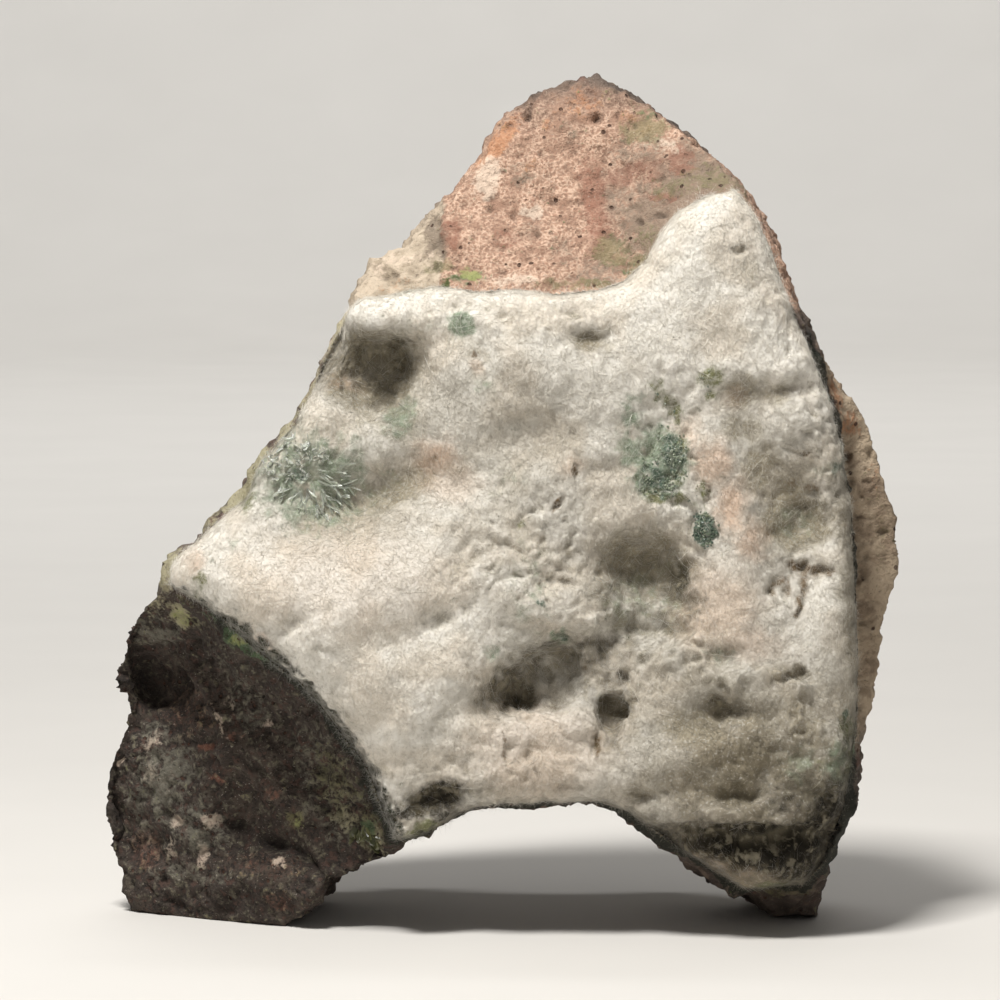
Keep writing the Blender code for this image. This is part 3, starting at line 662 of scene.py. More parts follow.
@dataclass(frozen=True)
class RockFinish(Finish):
    """Basalt, broken along hackly faces and weathered for long.

    The eye sees a dull fine-grained brown-grey, a salmon rind netted with brown on the face above the felt,
    green and black selvage beside the felt, and small pits. The dark block's colour holds painted shade, and
    painted shade darkens the rock's hollows.
    """

    name: str = "basalt_broken_weathered"
    body: str = "#5F534A"
    roughness: float = 0.88
    ior: float = 1.54

    def paint(self, paint: Paint) -> bpy.types.Material:
        """The body's mottling, each zone from its mask with its own grain, the dark block's with painted
        shade, then pits, painted shade in hollows and relief.

        Args:
            paint: the empty material.

        Returns:
            The finished material.
        """
        broad = paint.grain(9.0, 4.0)
        patchy = paint.grain(2.6, 4.0, warp=0.5)
        fine = paint.grain(0.45, 4.0, warp=0.4)
        paint.over(self.body, 1.0)
        paint.over("#463C36", paint.between(broad, 0.45, 0.62))
        paint.over("#7B6A5C", paint.between(patchy, 0.52, 0.70, 0.8))
        paint.over("#6E4B40", paint.between(paint.grain(5.0, 3.0), 0.56, 0.70, 0.6))
        # zone colours; the dark block's colour is partly painted shade, as that face turns away from the lamp
        for name, colour, other in (
            ("block", "#382F29", "#4C423A"), ("lobe", "#B09E87", "#8F7D69"),
            ("shoulder", "#C2B29D", "#A2937F"), ("pink", "#B5927C", "#9E7D69"),
        ):
            mask = paint.mask(name)
            paint.over(colour, mask)
            paint.over(other, paint.math("MULTIPLY", mask, paint.between(patchy, 0.46, 0.62)))
        # the rind is a faint pale web of grains 0.5 mm wide, broken up by brown
        web = paint.math("MULTIPLY", paint.mask("pink"), paint.between(patchy, 0.70, 0.40))
        knots = paint.between(fine, 0.36, 0.58)
        edge = paint.cells(0.62, "DISTANCE_TO_EDGE")
        threads = paint.between(edge, 0.22, 0.05, 0.85)
        paint.over("#D6B8A1", paint.math("MULTIPLY", paint.math("MULTIPLY", web, knots), threads))
        paint.over("#8C6755", paint.math("MULTIPLY", web, paint.between(edge, 0.22, 0.40, 0.55)))
        dull = paint.between(fine, 0.50, 0.36, 0.5)
        paint.over("#7D6656", paint.math("MULTIPLY", paint.mask("pink"), dull))
        # the dark block is crusted with grey-green and rust grains 0.5 to 1 mm wide
        crusted = paint.grain(1.0, 4.0, warp=0.3)
        block = paint.mask("block")
        paint.over("#6B6555", paint.math("MULTIPLY", block, paint.between(crusted, 0.52, 0.66, 0.6)))
        paint.over("#5A4036", paint.math("MULTIPLY", block, paint.between(crusted, 0.44, 0.36, 0.5)))
        paint.over("#1B1713", paint.math("MULTIPLY", block, paint.between(fine, 0.48, 0.34, 0.7)))
        mixed = paint.math("MULTIPLY", paint.math("ADD", crusted, fine), 0.5)
        for name, colour, most in (
            ("greyed", "#7F7162", 0.8), ("red", "#8A5A48", 0.6), ("orange", "#B27C56", 0.7),
            ("pale", "#DCC8B4", 0.75), ("mineral", "#7A776A", 0.6), ("crust", "#A8A184", 0.85),
            ("olive", "#75704F", 0.7), ("selvage", "#1F2118", 0.95), ("green", "#55694A", 0.8),
            ("lime", "#969A60", 0.8), ("moss", "#3F4C1F", 0.95),
        ):
            paint.over(colour, paint.math("MULTIPLY", paint.torn(paint.mask(name), mixed, 1.1), most))
        # grains of feldspar and glass 0.2 to 0.4 mm wide
        paint.over("#B9AFA2", paint.between(paint.grain(0.28, 2.0), 0.66, 0.74, 0.45))
        paint.over("#241E1A", paint.between(paint.grain(0.33, 2.0, warp=0.8), 0.64, 0.74, 0.6))
        # painted shade where the rock lies below its evened surface
        paint.over("#1C1713", paint.math("MULTIPLY", paint.mask("cavity"), 0.7))
        seat = paint.cells(1.7)
        lone = paint.between(paint.cells(1.7, output="Color"), 0.5, 0.6)
        pits = paint.math("MULTIPLY", paint.math("SUBTRACT", 1.0, paint.between(seat, 0.09, 0.2)), lone)
        paint.over("#4A3226", paint.math("MULTIPLY", pits, 0.9))
        paint.relief(paint.math("SUBTRACT", 1.0, pits), 0.35)
        paint.relief(crusted, 0.32)
        paint.relief(fine, 0.24)
        paint.relief(paint.grain(0.2, 2.0), 0.07)
        return paint.finished(Roughness=self.roughness, IOR=self.ior, Specular_IOR_Level=0.4)


@dataclass(frozen=True)
class GlassyFinish(Finish):
    """Clear crystal, grown as thin blades with bright faces, tinted through its depth."""

    name: str = "zeolite_blades_grown"
    tint: str = "#F1F4EC"
    depth_tint: str = "#B9C4AC"
    roughness: float = 0.3
    ior: float = 1.49
    clear: float = 0.78

    def paint(self, paint: Paint) -> bpy.types.Material:
        """A pale tint, deeper in some blades, with growth lines a quarter of a millimetre apart.

        Args:
            paint: the empty material.

        Returns:
            The finished material.
        """
        paint.over(self.tint, 1.0)
        paint.over(self.depth_tint, paint.mask("tint"))
        paint.relief(paint.grain(0.25, 1.0, (1.0, 1.0, 6.0), 20.0), 0.02)
        return paint.finished(
            Roughness=self.roughness, IOR=self.ior, Transmission_Weight=self.clear, Specular_IOR_Level=0.6)


@dataclass(frozen=True)
class DruseFinish(Finish):
    """Small green crystals, grown as a druse: bright faces over a cloudy body, pale green to dark teal."""

    name: str = "celadonite_druse_grown"
    pale: str = "#AEB6A0"
    body: str = "#88937B"
    deep: str = "#48604F"
    roughness: float = 0.34
    ior: float = 1.52

    def paint(self, paint: Paint) -> bpy.types.Material:
        """Pale, green and teal by each crystal's tint, clouded inside.

        Args:
            paint: the empty material.

        Returns:
            The finished material.
        """
        tint = paint.mask("tint")
        paint.over(self.pale, 1.0)
        paint.over(self.body, paint.between(tint, 0.1, 0.5))
        paint.over(self.deep, paint.between(tint, 0.5, 0.95))
        paint.over("#6F7350", paint.between(paint.grain(1.8, 2.0), 0.58, 0.70, 0.6))
        return paint.finished(
            Roughness=self.roughness, IOR=self.ior, Transmission_Weight=0.25, Specular_IOR_Level=0.6)


# Marks on the felt

# where the felt ends on the dark block, in mm
SELVAGE_LINE = (
    (-42.4, 43.2), (-37.8, 41.6), (-33, 39), (-28.8, 35.2), (-24.8, 31.2), (-21, 26.8), (-18, 22.2),
    (-15.6, 17.6), (-14, 13.2),
)

FELT_STAINS = (
    # broad grey-brown: painted shade where the felt turns away from the lamp, strongest at the lower right,
    # partly thin felt over the dark rock
    Stain("thin", spots(
        (31, 22, 14, 11, 0.95, 0, 1), (23, 34, 9, 6, 0.5, 0, 1), (39, 12, 10, 9, 0.85, 0, 0.8),
        (34, 55, 7, 12, 0.45, 10, 1), (30, 43, 10, 8, 0.3, 0, 1), (3, 60, 12, 13, 0.32, 0, 1),
        (8, 20, 13, 7, 0.3, 0, 1), (-16, 55, 9, 4, 0.5, 20, 1), (6, 33, 9, 5, 0.45, 20, 1),
        (18, 44, 8, 6, 0.4, 0, 1), (-16, 70, 7, 6, 0.4, 0, 1), (-9, 67, 6, 5, 0.4, 0, 1),
        (-24, 57, 7.5, 7, 0.35, 0, 0.8), (42, 25, 4, 12, 0.75, 0, 1), (44.2, 44, 1.5, 24, 0.75, 0, 0.9),
        (-8, 15, 5, 4, 0.7, 0, 1), (-4, 24, 5, 6, 0.2, 0, 1), (18, 60, 4, 6, 0.3, 0, 1),
        (42, 62, 3, 10, 0.25, 0, 1), (20, 14, 8, 4, 0.6, -20, 1),
    ), 1.6, 5, 0.2),
    # haze: painted shade in the felt's valleys and under its ledges, partly the rock seen through thin felt
    Stain("haze", spots(
        (19, 41, 7.5, 5, 0.5), (-12.6, 47.3, 9, 4, 0.3), (2, 47, 5, 7, 0.3), (-17, 71.8, 8, 6, 0.75),
        (-14, 66, 6, 4, 0.6, -30), (-8, 71, 5, 4, 0.3), (-2.6, 72.8, 2.2, 2.4, 0.55),
        (-1.2, 71.6, 1.6, 3.2, 0.45, -25), (-5.5, 75, 4, 2.6, 0.4), (-22, 53.8, 6, 2.6, 0.55, 12),
        (-13, 56.6, 6.5, 2.4, 0.7, 22), (-5.5, 59.5, 3.6, 2.2, 0.45, 30), (-26.5, 63.5, 3, 2, 0.35),
        (-33, 50.5, 3, 3, 0.2), (0.5, 64, 6, 5, 0.28), (6.5, 67, 3.5, 2.2, 0.25),
        (8, 62.4, 4.2, 2.2, 0.35), (2, 76, 4, 1.4, 0.3), (11.4, 75.4, 2.6, 1.5, 0.75),
        (9.4, 78.6, 1.4, 0.9, 0.6), (-0.2, 79.2, 1.8, 0.9, 0.5), (15.5, 73, 3, 2.2, 0.25),
        (30.9, 84.6, 3, 2.6, 0.45), (32.8, 79.7, 1.6, 1.2, 0.45), (30.3, 68.9, 2.8, 2.8, 0.65),
        (34.6, 68.4, 3, 1.9, 0.6), (30.6, 64.4, 3.2, 3.4, 0.6), (32.8, 58.8, 3, 4, 0.62),
        (36.2, 56.6, 3.6, 3.6, 0.62), (37.5, 52.6, 4.6, 4.4, 0.85), (35.8, 49.6, 4.6, 2.4, 0.4),
        (19, 47.5, 7, 4.6, 0.75, -15), (16, 43.5, 6, 3.4, 0.5), (22, 40.2, 3.4, 3.6, 0.5),
        (8.6, 48, 1.6, 3, 0.5, 20), (12.5, 53, 3.4, 4, 0.25), (-4.6, 46.8, 2.4, 0.9, 0.5, 45),
        (14, 27, 4.5, 5.5, 0.5), (24.6, 27.6, 5.4, 2.8, 0.75, 10), (26, 32.6, 5, 3, 0.4),
        (36.4, 33.8, 3.8, 1.7, 0.6), (33, 27.8, 4.6, 2.2, 0.45), (38.4, 27.4, 2.6, 4.4, 0.6, 35),
        (-7.4, 28.4, 2, 3.4, 0.4, -30), (-3, 20.5, 3.6, 3, 0.4), (-26.3, 40, 1.6, 1.3, 0.5),
        (-22.6, 37.4, 1, 0.8, 0.3), (-13.6, 32.6, 3.4, 1, 0.25, 12), (-7.7, 40.2, 1.5, 1.3, 0.45),
        (17, 18.8, 2.2, 1.6, 0.6), (29.5, 19, 3.8, 1.8, 0.7), (20.5, 21.5, 6, 2, 0.35),
        (33, 23, 3, 1.6, 0.35), (38, 21, 4, 4, 0.4), (28.5, 8.4, 9.5, 3.2, 0.85), (22, 12.4, 3.5, 2, 0.7),
        (36, 8, 4, 3, 0.8), (-28.4, 33.5, 3.6, 1.4, 0.35, -45), (-15, 21.5, 2.4, 1, 0.6, -40),
        (-18.6, 27.6, 3, 1, 0.4, -45), (-36.6, 45, 2, 0.8, 0.3, 20), (43, 60, 1.4, 8, 0.2),
    ), 1, 3.2, 0.35),
    # hollows' brown: painted shade in the felt's hollows and in the recess along its foot, partly the rock
    # seen through thin felt
    Stain("hollow", spots(
        (-17.4, 72.2, 5.2, 3.8, 0.8, 10, 0.7), (-13, 73.2, 1.5, 2.8, 1, 0, 0.5),
        (-15, 69, 2.6, 2, 0.75, -35), (-13.2, 66.4, 1.6, 2.2, 0.45), (-20.6, 71, 1.8, 1.6, 0.55),
        (11.6, 75.4, 1.5, 0.8, 0.45), (30.5, 86.7, 0.9, 0.5, 0.8), (38.6, 53.8, 2.6, 2.2, 0.45),
        (30.4, 68.6, 1.4, 1.3, 0.25), (18.4, 47, 5, 2.8, 0.6, -12, 0.9),
        (22.4, 44.8, 2, 3.2, 0.95, 0, 0.7), (24.4, 42.4, 1.4, 1.8, 0.7),
        (14.2, 44.2, 3.2, 1.8, 0.65, 0, 0.8), (12.6, 43.4, 2.6, 1.1, 0.35), (20.8, 40.6, 2.6, 1.5, 0.7),
        (16, 40.2, 2.6, 1.2, 0.45), (1.2, 31.6, 3.6, 2.4, 0.9, 30), (5.4, 34.6, 4.8, 2.4, 0.85, 25),
        (11.4, 36, 4.4, 1.7, 0.75), (15.5, 36.6, 3.2, 1.2, 0.45), (9.6, 32.2, 2.6, 2, 0.5),
        (13.4, 32.8, 2.2, 1.8, 0.45), (6.6, 29.8, 2.4, 1.2, 0.45), (14.1, 29.1, 2, 2.2, 0.9, 0, 0.7),
        (14.4, 25.8, 0.9, 1.8, 0.7), (28.4, 29.2, 2.8, 0.9, 0.9, -4, 0.9), (25.4, 27.8, 2.4, 1, 0.45),
        (27.8, 36.2, 1.8, 0.9, 0.55), (37.4, 33.3, 1.2, 0.8, 0.85, 0, 0.8), (-8, 17.8, 4, 1.8, 1, 12, 0.4),
        (-1.8, 19.6, 1.8, 1.2, 0.5), (30, 19, 2.8, 1.1, 0.75), (17, 18.4, 1.2, 1, 0.5),
        (40.5, 18, 3.6, 3, 0.8), (31, 12, 12, 3.4, 1, -3, 0.6), (38, 11.6, 6, 3.6, 1, 15, 0.6),
        (41.6, 14, 3.4, 6.4, 1, 0, 0.7), (20.6, 13.6, 4, 1.8, 0.75, -25, 0.8), (12.6, 30, 2.4, 2.4, 0.4),
        (36, 19, 4, 2.2, 0.55, 20, 1), (34.8, 21, 1.8, 1, 0.6), (37.4, 23.6, 1.4, 1.4, 0.5),
        (24, 16.6, 2, 1, 0.6), (-14.8, 12.8, 1.4, 1.2, 0.6), (43.4, 19, 1.2, 6, 0.7),
        (29, 9.4, 8, 1.8, 0.6), (34, 7.4, 4, 2, 0.5), (22, 10, 2, 2.2, 0.8, 40),
    ), 1.3, 1.5, 0.75),
    # near-black: painted shade in the deepest hollows, slits and under the overhang at the foot, partly dark
    # rock
    Stain("dark", spots(
        (-12.7, 73, 0.9, 2.2, 0.5), (3, 30.6, 1.3, 1.4, 0.95), (8.8, 34.6, 1.2, 0.8, 0.6),
        (14.3, 28.9, 1.3, 1.6, 0.45), (28.3, 29.1, 1.8, 0.5, 0.5), (-8, 17.8, 3, 1.5, 0.9),
        (32, 12.2, 9.8, 3, 1, -3, 0.8), (38.6, 11.4, 5.4, 4.4, 1, 15, 0.8), (28.5, 8.6, 8, 1.4, 0.4),
        (41.6, 16.6, 2.8, 4, 0.85, 0, 0.9), (36, 17.6, 3, 1.6, 0.6), (22, 44.8, 1.6, 0.7, 0.6),
        (-7.2, 18.2, 3, 2.2, 1, 12, 0.8), (-11.8, 16.2, 2.2, 0.9, 0.7), (-7.4, 15.6, 2, 0.8, 0.7),
        (29.6, 18.6, 1.8, 0.7, 0.6), (35.4, 10.4, 3.4, 1.4, 0.9), (-8.8, 13, 2.2, 1, 0.8, 20),
        (43.4, 26, 0.7, 3.6, 0.5), (15.6, 33.2, 0.7, 0.8, 0.6), (38, 9.6, 4, 1.4, 0.5),
    ), 0.7, 1.1, 0.4),
    Stain("selvage", (
        Seam(SELVAGE_LINE, 1.8, 1), Seam(((-12, 12), (-8, 12.6), (-5, 14.4), (0, 16.2)), 0.7, 0.8),
        Seam(((16, 14.6), (20, 11), (26, 6.6)), 0.7, 0.7),
    ), 1.1, 1.2, 0.3),
    Stain("green", (
        *spots(
            (17.4, 42.6, 6, 4.4, 0.4), (3.4, 44, 3, 8, 0.3), (-24, 57, 5, 4, 0.25),
            (-4.8, 77.2, 1.7, 1.8, 0.95), (-10, 77.2, 2.2, 1.4, 0.3), (-2.2, 69.8, 1.8, 1, 0.45),
            (16.6, 66.2, 2, 2.6, 0.62), (17, 61.6, 2.6, 2.6, 0.75), (20.6, 60.6, 3.4, 4.4, 0.95),
            (18.8, 57.6, 2.6, 2.4, 0.8), (-12.8, 65.6, 2.2, 3, 0.7, -20), (-18, 62, 3, 2.2, 0.3),
            (-23.5, 57.5, 7.5, 6.5, 0.7), (-29.6, 58.2, 2.4, 4, 0.5), (-14, 57.6, 2, 1.4, 0.35),
            (1.4, 58.4, 2.6, 1.6, 0.35), (4.6, 43.8, 1.6, 1.4, 0.5), (7.4, 37.8, 1.5, 1.2, 0.85),
            (-1.2, 36.2, 1.4, 0.9, 0.5), (37.6, 52.4, 2.6, 2.6, 0.45), (27.8, 36, 2.2, 1.2, 0.5),
            (41.6, 59.2, 2.2, 1.2, 0.45), (37.4, 22.4, 2.2, 2.4, 0.5), (42.6, 22.4, 2.2, 3.2, 0.7),
            (21.8, 43.6, 1.4, 3.6, 0.5), (3.2, 41.2, 1.2, 1.4, 0.45), (-26.8, 38.6, 1.2, 0.8, 0.2),
            (31, 52.4, 1.2, 1.2, 0.2), (-37.4, 47.8, 1.6, 1, 0.4), (-33.6, 50, 1.2, 1, 0.4),
        ),
        Seam(((-34, 39), (-31, 36.8), (-28.6, 34.6)), 0.9, 0.9),
    ), 0.9, 1.6, 0.45),
    Stain("teal", spots(
        (21.8, 60.8, 1.7, 3.4, 0.72, 12), (19.6, 58, 2, 1.7, 0.72), (21, 56.6, 1.7, 1.2, 0.75),
        (25.9, 51.4, 1.6, 2.2, 1, 0, 0.3), (8, 37.9, 0.9, 0.8, 0.9), (-4.7, 77, 0.8, 0.9, 0.35),
        (23, 45.6, 0.9, 2, 0.55), (-25.6, 58.4, 2, 1.6, 0.45), (27.4, 36.2, 1.2, 0.5, 0.5),
        (4.8, 42.6, 0.6, 0.6, 0.6), (43.8, 28.2, 0.7, 1.4, 0.6), (-8.4, 17.4, 2.2, 0.8, 0.3),
        (18, 41, 0.9, 0.7, 0.4), (42.6, 59.2, 0.7, 0.7, 0.6),
    ), 0.6, 1, 0.4),
    Stain("olive", spots(
        (20.6, 68.4, 1.1, 1.8, 0.75, 30), (22.2, 66.4, 1, 1.5, 0.75), (19.6, 70.2, 1, 0.7, 0.6),
        (26.4, 70.8, 1.6, 1.7, 0.75), (26.6, 68.6, 1.1, 1, 0.7), (22.9, 61.8, 0.8, 1.2, 0.7),
        (22.6, 55.4, 1.4, 0.8, 0.9), (20, 55.8, 1.8, 1, 0.8), (21.4, 57.6, 1.6, 1, 0.6),
        (25.7, 56.2, 0.5, 1.3, 0.8), (22.6, 58.8, 0.6, 0.7, 0.7), (24.4, 54.6, 0.8, 0.6, 0.5),
        (-12.4, 81.4, 3, 0.5, 0.5), (43.6, 27, 0.9, 2, 0.8), (44, 22, 0.8, 2.6, 0.6),
        (40.8, 22.6, 1.2, 0.9, 0.4), (-37.6, 44.6, 0.8, 2.6, 0.7), (-29, 63, 1, 2.4, 0.5, -25),
        (-32, 56, 0.8, 2.6, 0.75), (0, 56, 1.6, 0.9, 0.4), (2.4, 52.4, 0.9, 0.7, 0.45),
        (34.4, 6.8, 2.6, 0.9, 0.8), (-9.6, 13.4, 2.2, 1.4, 1, 30), (-30.4, 31, 3, 0.7, 0.6, -45),
        (-20, 23, 4, 0.6, 0.5, -52),
    ), 0.6, 0.9),
    Stain("peach", spots(
        (-8, 60.6, 2.6, 2.2, 0.8), (-6.4, 57.4, 3.6, 2.6, 0.35), (23.4, 63.2, 2.4, 2.2, 0.5),
        (26.8, 60, 2.2, 2.8, 0.75, -20), (29.2, 54.8, 2, 3.4, 0.85, -10), (31.8, 50.2, 2.2, 2.6, 0.7, -20),
        (27, 42, 5, 5, 0.42), (31.6, 37.6, 3.6, 2, 0.42), (-19.6, 70, 2.6, 1, 0.5),
        (-38, 47.4, 1.2, 1.4, 0.55), (-29.6, 37.2, 1.2, 1.2, 0.55), (5, 24, 9, 5, 0.3),
        (27, 9.6, 8, 2.6, 0.35), (29.8, 68.4, 1.6, 1.4, 0.35), (9, 59.6, 1.6, 1.2, 0.35),
        (-20, 46, 12, 6, 0.18), (-2.6, 72.4, 0.9, 1.2, 0.4),
    ), 1, 2.6),
    # rust stains, and painted shade along the cracks
    Stain("rust", (
        *spots(
            (9.4, 59, 0.45, 1.1, 0.85, 10), (7.2, 54.9, 0.45, 1.2, 0.8, -30), (-3.4, 73.6, 0.4, 0.5, 0.7),
            (12.2, 24.8, 0.5, 1.4, 0.75), (38.6, 61, 0.9, 0.4, 0.6), (-8.2, 60, 0.9, 1.1, 0.4),
            (10.4, 34, 0.8, 0.6, 0.6), (39.6, 56.6, 1.4, 0.7, 0.55), (37, 57.2, 0.8, 0.6, 0.5),
            (-16, 57.2, 1.6, 0.6, 0.4, 30), (-2.4, 44.6, 0.7, 0.4, 0.3), (24, 60.6, 0.5, 0.4, 0.6),
        ),
        Seam(((36.8, 46.9), (38.6, 46.6), (41.8, 46.2)), 0.75, 0.8),
        Seam(((38.6, 46.4), (38.3, 43.6)), 0.8, 0.7),
        *spots(
            (37.8, 46.2, 1.6, 1, 0.4),
        ),
        Seam(((34.4, 43.8), (34.8, 45), (36.2, 45.2), (36.4, 43.8)), 0.6, 0.65),
        Seam(((37.9, 42.8), (37.3, 40.8)), 0.6, 0.8), Seam(((0.4, 27), (0.7, 23)), 0.25, 0.6),
        Seam(((4, 22.4), (4.6, 21.2)), 0.25, 0.6),
    ), 0.35, 0.8),
    Stain("speck", spots(
        (0, 52, 6, 8, 0.85), (-4, 64, 14, 10, 0.35), (-28, 44, 12, 10, 0.3), (24.5, 56.4, 3, 6, 0.9),
        (39, 58, 5, 9, 0.75), (12, 40, 14, 10, 0.6), (30, 26, 14, 10, 0.4), (30, 76, 10, 8, 0.3),
        (6, 76, 14, 5, 0.3), (4, 24, 12, 8, 0.3),
    ), 1, 3),
    Stain("rough", spots(
        (3, 49, 9, 8, 0.9), (41, 60, 5, 10, 1), (9, 34, 11, 6, 1), (18, 43, 7, 6, 0.6),
        (38, 22, 7, 7, 0.85), (3, 20, 13, 6, 0.65), (28, 18, 10, 5, 0.6), (2, 79, 12, 2.4, 0.8),
        (22, 62, 5, 9, 0.7), (-24, 58, 6, 6, 0.5), (24, 52, 4, 5, 0.6), (36, 76, 4, 6, 0.4),
        (-17, 71, 5, 4, 0.7), (-12, 17, 6, 4, 0.5), (36, 44, 5, 4, 0.5),
    ), 1.4, 4),
)

# Relief in mm: strengths above zero go in, below zero stand proud. Swells and hollows first, then dents
FELT_FORMS = spots(
    (-15.6, 77.6, 4, 2, -0.9, 0, 0.9), (-23.2, 65.4, 2.6, 1.5, -0.7, 20, 0.9),
    (-27, 43.6, 11, 4.6, -1.2, 0, 1), (-11, 44, 8, 4, -0.6, 0, 1), (10, 42.4, 6.4, 2.2, -1.1, 4, 0.9),
    (2.6, 43, 3.4, 2.4, -0.7, 0, 0.9), (40.6, 40, 3, 6, -0.7, 0, 1), (28.4, 43, 4.4, 5.6, -0.8, 0, 1),
    (29.4, 24.2, 3.2, 3, -0.9, 0, 1), (21.6, 22.6, 4, 2, -0.8, 20, 0.9),
    (33.4, 30.6, 3, 1.8, -0.6, 0, 0.9), (39.8, 24.6, 2.8, 2.2, -0.7, 0, 0.9),
    (5.6, 26.8, 6.6, 1.7, -1.2, 0, 0.8), (4, 20.6, 8, 2.6, -0.6, 0, 1),
    (17.6, 54, 4.4, 1.5, -0.7, 10, 0.9), (5.4, 73, 3.6, 2.6, -0.6, 0, 1), (36, 64, 2, 3, -0.8, -30, 0.9),
    (11, 34.8, 2, 1.6, -0.6, 0, 0.9), (-16.6, 71.6, 5.4, 4.2, 1.5, 0, 0.9),
    (-12.9, 73, 1.5, 2.5, 0.5, 0, 0.8), (-15.4, 66.6, 2.4, 2.4, 0.7, 0, 1),
    (-16, 55.6, 6.4, 2.6, 1.2, 25, 0.9), (18.4, 46.6, 5.4, 3, 1.2, -8, 0.9),
    (22.2, 45, 1.6, 2.6, 0.8, 0, 0.8), (17.4, 38.5, 7.6, 1.5, 1.3, 3, 0.7),
    (5.6, 32.8, 7, 3.4, 1.7, 27, 0.7), (2.6, 30.5, 2.2, 1.3, 1.1, 0, 0.6),
    (13, 36.6, 3.4, 1.8, 0.6, 0, 0.9), (14, 28.6, 1.7, 2.1, 2, 0, 0.4),
    (14.5, 25.6, 0.8, 1.2, 0.7, 0, 0.8), (24.4, 27.6, 4.4, 2.2, 1.1, 8, 0.9),
    (28.7, 29.2, 2.3, 0.8, 0.8, -6, 0.9), (29.6, 18.8, 2.8, 1, 1.3, 0, 0.7),
    (36, 24, 3.2, 1.9, 0.9, 32, 0.9), (31, 13.2, 9.6, 1.9, 2.6, -3, 0.5),
    (39.6, 12.6, 4.2, 3.4, 1.8, 15, 0.7), (37.4, 52.8, 3.4, 3.2, 1.5, 0, 0.9),
    (36, 57.6, 2.6, 2.2, 0.9, 0, 0.9), (32.2, 60.4, 2, 3.8, 0.8, 15, 1), (31, 68, 3.2, 2.4, 0.9, 0, 0.9),
    (36, 68.8, 2.6, 1.4, 0.7, 0, 0.9), (4.6, 63, 4.4, 2.6, 0.7, 0, 1), (11.6, 75.7, 2.8, 1.2, 1, 0, 0.8),
    (-4.6, 47.8, 1.4, 2.6, 0.8, -40, 0.9), (-7.6, 40.4, 1.6, 1, 0.8, 35, 0.9),
    (-25.6, 40, 1.8, 0.9, 0.5, 25, 0.9), (17.2, 18.2, 1.7, 1.3, 1, 0, 0.8),
    (28, 36.2, 2.2, 1.2, 0.9, 0, 0.9), (37.2, 33.4, 1.1, 0.8, 1.2, 0, 0.6), (13, 59, 3, 1.4, 0.6, 10, 0.9),
    (-2.6, 73, 1.8, 2.6, 0.6, 0, 1), (-8, 17.8, 3.6, 1.7, 1.6, 12, 0.7),
    (16, 31.8, 0.9, 2.2, 0.7, 20, 0.8), (20, 41.4, 5, 1.6, 0.7, 10, 0.9),
)
FELT_DENTS = spots(
    (-22.4, 37.2, 0.7, 0.6, 0.3), (-4.2, 41.6, 0.8, 0.8, 0.3), (-5, 78.4, 0.9, 0.7, -0.4),
    (6.2, 33.4, 1.1, 1, 0.7), (8.7, 34.5, 0.9, 0.9, 0.9), (0.4, 33.6, 0.9, 1.2, 0.5),
    (15.7, 33.2, 0.7, 0.8, 0.8), (28.8, 27.7, 2, 0.6, -0.4), (25.9, 51.3, 1.5, 2, -0.5, 0, 0.4),
    (24, 60.4, 0.4, 0.4, 0.5), (24.2, 52.6, 0.5, 2, 0.6), (9.7, 59.1, 0.35, 0.9, 0.6),
    (7.4, 54.9, 0.4, 1.2, 0.6, -35), (26.1, 56, 0.35, 1, 0.7), (22.6, 54.9, 1.3, 0.6, 0.6, -20),
    (30.4, 86.7, 0.9, 0.5, 0.5), (9.4, 78.6, 1, 0.6, 0.4), (27.2, 16.6, 1.8, 0.6, -0.9),
    (32.2, 17, 0.8, 0.6, -0.7), (34.8, 15.3, 0.7, 0.5, -0.7), (40.5, 18.6, 1.6, 1.2, 0.6),
    (37.4, 21.6, 1.8, 0.8, -0.6, 30), (42.2, 24.6, 1, 0.9, -0.4), (36.6, 71.8, 2, 1.2, -0.5, 40),
    (36.8, 70, 1.6, 0.8, 0.5, 35), (23.6, 43.8, 1.2, 0.9, -0.6), (-3, 22.4, 2.6, 1.6, 0.4),
    (33.4, 8.4, 3.4, 1.4, -0.5), (9, 49.8, 0.7, 1.3, 0.5, -20),
)
# cracks and creases; below zero they are ridges
FELT_SEAMS = (
    Seam(SELVAGE_LINE, 1.6, 0.9), Seam(((37.2, 46.9), (38.8, 46.9), (40.4, 46.4), (42, 46.3)), 0.75, 0.9),
    Seam(((38.6, 46.4), (38.5, 44)), 0.7, 0.8), Seam(((34.3, 43.9), (34.8, 44.9), (35.8, 44.8)), 0.6, 0.7),
    Seam(((35.9, 44.6), (35.6, 42.6)), 0.6, 0.7), Seam(((38.1, 42.8), (37.3, 40.6)), 0.4, 0.8),
    Seam(((8.8, 47.8), (6.4, 45.6)), 0.45, 0.6), Seam(((-1.2, 44.8), (0.4, 45.8), (2.8, 45.9)), 0.4, 0.5),
    Seam(((20.4, 45.1), (23.6, 45), (24.1, 42.6)), 0.4, 0.7), Seam(((0.6, 24.6), (0.8, 22)), 0.3, 0.5),
    Seam(((4, 21.8), (5.2, 21)), 0.25, 0.5), Seam(((12.4, 26.4), (12, 23)), 0.5, 0.7),
    Seam(((20.6, 34.8), (24.6, 37.4), (25.4, 34.6), (28.6, 32.2)), 1.2, -1.1),
    Seam(((30.2, 34), (34.8, 33.6), (38.2, 31.6)), 1.1, -1.3), Seam(((38.6, 31.8), (37, 26.8)), 0.7, -0.9),
    Seam(((7, 40.8), (12, 40.4), (17, 41.2)), 0.9, -0.6), Seam(((11.6, 31.2), (12.4, 30.4)), 0.6, -0.6),
    Seam(((35.6, 61.8), (38.4, 61), (41, 61.6)), 0.25, 0.4), Seam(((37, 64.6), (39, 63.4)), 0.25, 0.35),
    Seam(((39.6, 50), (39.8, 44)), 0.3, 0.3), Seam(((43, 36.2), (43.2, 32.6)), 0.25, 0.3),
)


# The felt


